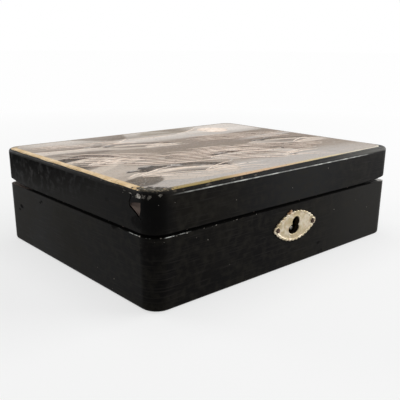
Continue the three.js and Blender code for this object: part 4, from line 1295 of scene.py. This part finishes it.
MOON = (64, 58, 13, 13, 0)
motif("lid_moon", [plate([on_oval(MOON, math.radians(6 * k)) for k in range(60)])], pale_gold_powder)

# %% [markdown]
# ## Reeds
# Reeds grow from the banks in clumps and lie over in the wind: they start flat, and bend down
# further towards their tips. Some carry a tuft of seeds in silver.

# %% Reeds
# Root x and y, number of blades, and length in mm
CLUMPS = [(-90, -50, 6, 46), (-52, -62, 5, 40), (-97, -6, 4, 40), (20, -58, 5, 38), (70, -28, 4, 36),
          (-32, 24, 4, 30)]
BLADE_STEPS = 20
reeds, heads = [], []
for root_x, root_y, blades, blade_length in CLUMPS:
    for blade in range(blades):
        lean = math.radians(26 - 9 * blade + dice.uniform(-4, 4))
        bend = math.radians(dice.uniform(-40, -20))
        step = blade_length * dice.uniform(0.7, 1.15) / BLADE_STEPS
        x, y = root_x + dice.uniform(-1.5, 1.5), root_y - 0.8 * blade + dice.uniform(-1, 1)
        points = [(x, y)]
        for k in range(BLADE_STEPS):
            angle = lean + bend * (k / BLADE_STEPS) ** 1.5
            x += step * math.cos(angle)
            y += step * math.sin(angle)
            points.append((x, y))
        points = clipped(points)
        if len(points) < 8:
            continue
        reeds.append(stroke(points, dice.uniform(0.7, 1.15)))
        tip = points[-1]
        for k in range(dice.randint(0, 2)):
            spread = lean + bend + math.radians(dice.uniform(-30, 30))
            tuft = [(tip[0] + 1.5 * m * math.cos(spread), tip[1] + 1.5 * m * math.sin(spread))
                    for m in range(5)]
            if all(inside_border(*p) for p in tuft):
                heads.append(stroke(tuft, 1.2))
motif("lid_grasses", reeds, pale_gold_powder)
motif("lid_seed_heads", heads, silver_powder)

# %% [markdown]
# ## Rims of hills and banks
# The upper rim of each hill is drawn in short strokes, and left out where a nearer hill stands
# before it. The pale banks have lit upper edges, and one line inside that follows their shape.

# %% Rims of hills and banks
def behind_hill(point, hills):
    """True where a point in mm lies on one of the hills."""
    for hx, hy, half_long, half_wide, turn in hills:
        lean = math.radians(-turn)
        dx, dy = point[0] - hx, point[1] - hy
        along = dx * math.cos(lean) - dy * math.sin(lean)
        across = dx * math.sin(lean) + dy * math.cos(lean)
        if (along / half_long) ** 2 + (across / half_wide) ** 2 < 1:
            return True
    return False


hill_rims = []
for number, hill in enumerate(HILLS):
    points = [on_oval(hill, math.radians(180 + 2 * k)) for k in range(90)]
    longest = clipped([p for p in points if not behind_hill(p, HILLS[:number])])
    for start in range(0, len(longest) - 12, 22):
        hill_rims.append(stroke(longest[start:start + 20], 1.2))
motif("lid_hill_rims", hill_rims, pale_gold_powder)

# Strokes on a bank: from and to in degrees, and how far in as a share
BANK_STROKES = [(14, 62, 0.98), (70, 118, 0.98), (126, 168, 0.98), (40, 104, 0.8)]
bank_rims = []
for bank in BANKS:
    for start, end, inset in BANK_STROKES:
        points = []
        for k in range(20):
            wave = inset + 0.03 * noise.noise(Vector((bank[0], 0.05 * start + 0.25 * k, 2.0)))
            points.append(on_oval(bank, math.radians(start + (end - start) * k / 19), wave))
        points = clipped(points, 1.5)
        if len(points) > 6:
            bank_rims.append(stroke(points, 0.9))
motif("lid_bank_rims", bank_rims, pale_gold_powder)

# %% [markdown]
# ## Metals
# The keyhole's plate is nickel silver, a pale alloy of copper, nickel and zinc, stamped and once
# polished. Age has given it a warm cast, with yellow and rose stains and fine dents. Hinges and
# lock are cast and filed brass that has dulled to brown in the hollows. Bolt, spring, drill pin
# and lock screws are steel, with a grey skin. The two pins of the plate were iron and have
# rusted to brown. A metal keeps the default IOR, and its colour comes from the base colour.

# %% Metal materials
def worn_metal(name, bright, dull, stain, roughness, relief=0.3, metallic=1.0):
    """A metal with cloudy dulling, stains, fine file marks and small dents."""
    material, tree = new_material(name)
    spot = add(tree, "ShaderNodeTexCoord", out="Object")
    # Clouds 5 mm across, stains and dents of 2 mm, and file marks 0.4 mm apart
    clouds = add(tree, "ShaderNodeTexNoise", {"Vector": spot, "Scale": 210.0, "Detail": 5.0,
                                              "Distortion": 0.4})
    stains = add(tree, "ShaderNodeTexNoise", {"Vector": spot, "Scale": 480.0, "Detail": 4.0})
    dents = add(tree, "ShaderNodeTexNoise", {"Vector": spot, "Scale": 520.0, "Detail": 3.0})
    filed = add(tree, "ShaderNodeMapping", {"Vector": spot, "Scale": (600.0, 60.0, 2400.0)})
    marks = add(tree, "ShaderNodeTexNoise", {"Vector": filed, "Scale": 1.0, "Detail": 2.0})
    base = painted(tree, bright, (mask(tree, (clouds, 0.38, 0.62)), dull),
                   (mask(tree, (stains, 0.54, 0.68), 0.5), stain))
    rough = add(tree, "ShaderNodeMapRange", {0: clouds, 1: 0.3, 2: 0.7, 3: roughness - 0.08,
                                             4: roughness + 0.12})
    height = add(tree, "ShaderNodeMath", {0: marks, 1: dents}, operation="ADD")
    surfaced(tree, height, relief, 0.08, {"Base Color": base, "Roughness": rough,
                                          "Metallic": metallic})
    return material


nickel_silver = worn_metal("stamped_nickel_silver", "#bdb39f", "#a5987c", "#ad8f78", 0.5)
aged_brass = worn_metal("filed_aged_brass", "#b3935a", "#8a6d3f", "#54412a", 0.38)
dark_brass = worn_metal("dirty_case_brass", "#4b3c26", "#33291c", "#1c1612", 0.6)
dull_steel = worn_metal("dull_filed_steel", "#a5a29c", "#807d78", "#55493f", 0.36)
rusted_iron = worn_metal("rusted_iron_pin", "#5a4638", "#3b2e26", "#6d3f26", 0.75, relief=1.0,
                         metallic=0.35)
print("metals", [m.name for m in (nickel_silver, aged_brass, dark_brass, dull_steel, rusted_iron)])

# %% [markdown]
# ## The keyhole's plate
# The real plate is a pointed oval, stamped from sheet: a rolled rim with scallops round its edge,
# a field that lies a little lower, and a keyhole whose lip is turned in. Its outline is two flat
# arcs that meet in points, each with fourteen scallops. The keyhole is two ovals that overlap: a
# round one for the key's pipe, and a wide one below it, worn to the left by the bit.

# %% Plate outlines
SCALLOPS = 14
SCALLOP_STEPS = 12
SCALLOP_DEPTH = 0.55
PLATE_HEIGHT = 19.6
plate_middle = Vector(((plate_low.x + plate_high.x) / 2, 0, (plate_low.z + plate_high.z) / 2)) / MM
plate_half_width = (plate_high.x - plate_low.x) / 2 / MM
plate_half_height = PLATE_HEIGHT / 2 - SCALLOP_DEPTH

# The keyhole from the plate's middle: centre across and up, and its two radii, for each lobe
LOBES = [((0.3, 2.3), (3.6, 3.6)), ((-1.4, -1.8), (5.2, 3.35))]
RAY_START = Vector((-0.2, 0.2))


def plate_outline():
    """Points round the plate from its middle, and how deep in a notch each one lies, 0 to 1."""
    arc = (plate_half_width ** 2 + plate_half_height ** 2) / (2 * plate_half_height)
    reach = math.asin(plate_half_width / arc)
    steps = SCALLOPS * SCALLOP_STEPS
    points = []
    for side in (1, -1):
        for i in range(steps):
            angle = side * reach * (1 - 2 * i / steps)
            bulge = abs(math.sin(math.pi * i / SCALLOP_STEPS))
            out = arc + SCALLOP_DEPTH * bulge
            rise = side * (out * math.cos(angle) - arc + plate_half_height)
            points.append((Vector((out * math.sin(angle), rise)), 1 - bulge))
    return points


def keyhole_reach(way):
    """How far a ray from the start point runs before it leaves the keyhole."""
    far = 0.0
    for (cx, cz), (rx, rz) in LOBES:
        ox, oz = (RAY_START.x - cx) / rx, (RAY_START.y - cz) / rz
        dx, dz = way.x / rx, way.y / rz
        a, b, c = dx * dx + dz * dz, ox * dx + oz * dz, ox * ox + oz * oz - 1
        far = max(far, (-b + math.sqrt(b * b - a * c)) / a)
    return far


outline = plate_outline()
print("plate", round(2 * plate_half_width, 1), "mm wide,", len(outline), "points round it")

# %% [markdown]
# ## The plate's relief
# The plate is built as rings between the keyhole's outline and its own. Every ray from a point
# inside the keyhole meets each outline once, so the rings never cross. A ring's height follows
# from its share of the ray: the rounded outer edge, the top of the rim, the hollow field, and the
# lip round the keyhole, all with a little unevenness from stamping.

# %% Plate mesh
RIM_OUTSIDE = 0.955
RIM_INSIDE = 0.895
SCALLOPS_FROM = 0.88
FIELD_END = 0.855
LIP_WIDTH = 0.9
RINGS = [0.0, 0.03, 0.07, 0.12, 0.18, 0.26, 0.36, 0.47, 0.58, 0.68, 0.76, 0.82]
OUTER_SHARES = [0.86, 0.865, 0.875, 0.885, 0.895, 0.91, 0.93, 0.95, 0.965, 0.98, 0.99, 0.997, 1.0]
BACK_GAP = 0.02


def plate_rise(share, notch, from_hole, spot):
    """How far the plate's front stands out of the board, in mm."""
    if share > RIM_OUTSIDE:
        over = (share - RIM_OUTSIDE) / (1 - RIM_OUTSIDE)
        rise = 0.62 + 0.38 * math.sqrt(max(1 - over ** 2, 0))
    elif share > RIM_INSIDE:
        rise = 1.0
    else:
        rise = 1.0 - 0.3 * min((RIM_INSIDE - share) / 0.035, 1.0) ** 0.7
    if share > SCALLOPS_FROM:
        rise -= 0.2 * notch ** 2
    lip = max(1 - from_hole / LIP_WIDTH, 0.0)
    rise += 0.12 * math.sin(math.pi * lip) - 0.3 * max(lip - 0.7, 0) / 0.3
    return rise + 0.035 * noise.noise(Vector((spot.x * 0.45, spot.y * 0.45, 7.0)))


plate_points = []
for edge, notch in outline:
    way = (edge - RAY_START).normalized()
    full = (edge - RAY_START).length
    hole = keyhole_reach(way)
    column = [hole + (FIELD_END * full - hole) * ring / RINGS[-1] for ring in RINGS]
    column += [share * full for share in OUTER_SHARES]
    profile = [(RAY_START + way * hole, BACK_GAP)]
    for reach in column:
        spot = RAY_START + way * reach
        profile.append((spot, plate_rise(reach / full, notch, reach - hole, spot)))
    profile.append((edge, BACK_GAP))
    for spot, rise in profile:
        plate_points.append((plate_middle.x + spot.x, -HALF_DEPTH - rise, plate_middle.z + spot.y))
plate_solid = (plate_points, woven(len(outline), len(RINGS) + len(OUTER_SHARES) + 2))
plate_mesh = mesh_of("plate", [(plate_solid, nickel_silver)])
weld_and_smooth(plate_mesh, sharp_degrees=50.0, weld=0.001 * MM)
new_piece("keyhole_plate_stamped", plate_mesh, "body", "escutcheon", slot="nickel_silver")
print("plate", len(plate_solid[1]), "faces, from", round(min(p[1] for p in plate_points), 2), "mm")

# %% [markdown]
# ## Pins
# Two round-headed iron pins hold the plate. Each is a profile of radius and depth, turned about
# the pin's line: a thin shank with a point that goes into the board, the head's underside, and a
# pitted dome of rust.

# %% Pins
# Shank and underside of the head: radius and depth in mm, with the board's face at 0
SHANK = [(0.12, 5.3), (0.5, 4.3), (0.5, -0.55), (1.5, -0.7), (1.62, -0.85)]
HEAD_RADIUS = 1.62
HEAD_RISE = 0.84
DOME = [(HEAD_RADIUS * math.cos(math.radians(10 * k)), -1.0 - HEAD_RISE * math.sin(math.radians(10 * k)))
        for k in range(9)]
PIN_STEPS = 28


def turned(profile, middle, wobble, seed):
    """A closed solid turned about a line along Y from (radius, depth) pairs, with an uneven skin."""
    points = []
    for radius, depth in profile:
        for k in range(PIN_STEPS):
            angle = 2 * math.pi * k / PIN_STEPS
            place = Vector((radius * math.cos(angle), depth, radius * math.sin(angle)))
            uneven = 1 + wobble * noise.noise(place * 1.4 + Vector((seed, seed, seed)))
            points.append(middle + place * uneven)
    first = (len(profile) - 1) * PIN_STEPS
    ends = [list(range(PIN_STEPS)), [first + k for k in range(PIN_STEPS)]]
    return points, woven(len(profile), PIN_STEPS, closed=False) + ends


for side, seed in (("left", 3.0), ("right", 8.0)):
    low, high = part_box(f"escutcheon_pin_{side}")
    middle = Vector(((low.x + high.x) / 2 / MM, -HALF_DEPTH, (low.z + high.z) / 2 / MM))
    pin = turned(SHANK + DOME + [(0.15, -1.83)], middle, 0.07, seed)
    pin_mesh = mesh_of(f"pin_{side}", [(pin, rusted_iron)])
    weld_and_smooth(pin_mesh, sharp_degrees=50.0, weld=0.001 * MM)
    new_piece(f"plate_pin_{side}_rusted", pin_mesh, "body", f"escutcheon_pin_{side}", slot="rusty_iron")
print("pin head", 2 * HEAD_RADIUS, "mm wide")

# %% [markdown]
# ## A crumb of old varnish
# A crumb of old golden varnish clings to the plate's upper rim. It is three rough lumps that
# overlap, from the plate's middle: across, out of the board, and up.

# %% Varnish crumb
old_varnish = crumbly("golden_varnish_crumb", 1500.0, ("#d9b184", "#7d5530"), 0.4, 0.6, 0.6, 0.4, 0.5,
                      detail=4.0)
crumbs = []
for (across, out, up), size, seed in [((-5.9, 0.7, 9.35), (1.2, 0.9, 0.75), 31),
                                      ((-4.9, 0.5, 10.2), (0.9, 0.8, 0.8), 35),
                                      ((-7.2, 0.35, 9.2), (0.8, 0.6, 0.5), 39)]:
    spot = (plate_middle.x + across, -HALF_DEPTH - out + 0.1, plate_middle.z + up)
    crumbs.append((lump(spot, size, seed, rough=0.6, detail=3), old_varnish))
crumb_mesh = mesh_of("crumb", crumbs)
weld_and_smooth(crumb_mesh, sharp_degrees=60.0, weld=0.001 * MM)
new_piece("varnish_crumb", crumb_mesh, "body", slot="nickel_silver")
print("crumb", len(crumb_mesh.polygons), "faces")

# %% [markdown]
# ## Hinges, lock and screws
# These fittings are hidden while the box is shut, and seen when it is open. Each one keeps the
# CAD model's shape, with its edges broken by a small bevel, as a file would leave them.

# %% Fittings
def fitting(node, body, material, slot, bevel=0.12):
    """A copy of a CAD node with broken edges and a metal finish."""
    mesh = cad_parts[node].data.copy()
    weld_and_smooth(mesh, sharp_degrees=28.0)
    mesh.materials.clear()
    mesh.materials.append(material)
    mesh.polygons.foreach_set("material_index", [0] * len(mesh.polygons))
    piece = new_piece(f"{node}_finished", mesh, body, node, slot=slot)
    if bevel:
        broken = piece.modifiers.new("broken_edges", "BEVEL")
        broken.width = bevel * MM
        broken.segments = 2
        broken.limit_method = "ANGLE"
        broken.angle_limit = math.radians(40)
        broken.use_clamp_overlap = True
        broken.harden_normals = False
    keep_flats_flat(piece)


for side in ("left", "right"):
    fitting(f"hinge_{side}_body_leaf", "body", aged_brass, "brass")
    fitting(f"hinge_{side}_lid_leaf", "lid", aged_brass, "brass")
    fitting(f"hinge_{side}_pin", "body", dull_steel, "steel", bevel=0.08)
    fitting(f"link_plate_screw_{side}", "lid", dull_steel, "steel", bevel=0.05)
    for letter in ("a", "b"):
        fitting(f"body_hinge_screw_{side}_{letter}", "body", aged_brass, "brass", bevel=0.05)
        fitting(f"lid_hinge_screw_{side}_{letter}", "lid", aged_brass, "brass", bevel=0.05)
    for height in ("top", "bottom"):
        fitting(f"lock_screw_{side}_{height}", "body", dull_steel, "steel", bevel=0.05)
fitting("lock_plate", "body", aged_brass, "brass")
fitting("lock_case", "body", dark_brass, "brass")
fitting("link_plate", "lid", aged_brass, "brass")
fitting("lock_bolt", "bolt", dull_steel, "steel")
fitting("lock_bolt_spring", "body", dull_steel, "steel", bevel=0.0)
fitting("lock_drill_pin", "body", dull_steel, "steel", bevel=0.15)

# %% [markdown]
# ## The inner lip
# A thin lip of wood stands inside the body's boards and guides the lid shut. It has the same
# inner lacquer, with its edges rounded by the lid that slides over them.

# %% Inner lip
for name in ("lip_front_left", "lip_front_right", "lip_left", "lip_right"):
    fitting(name, "body", lacquer_inside, "black_lacquer", bevel=0.4)
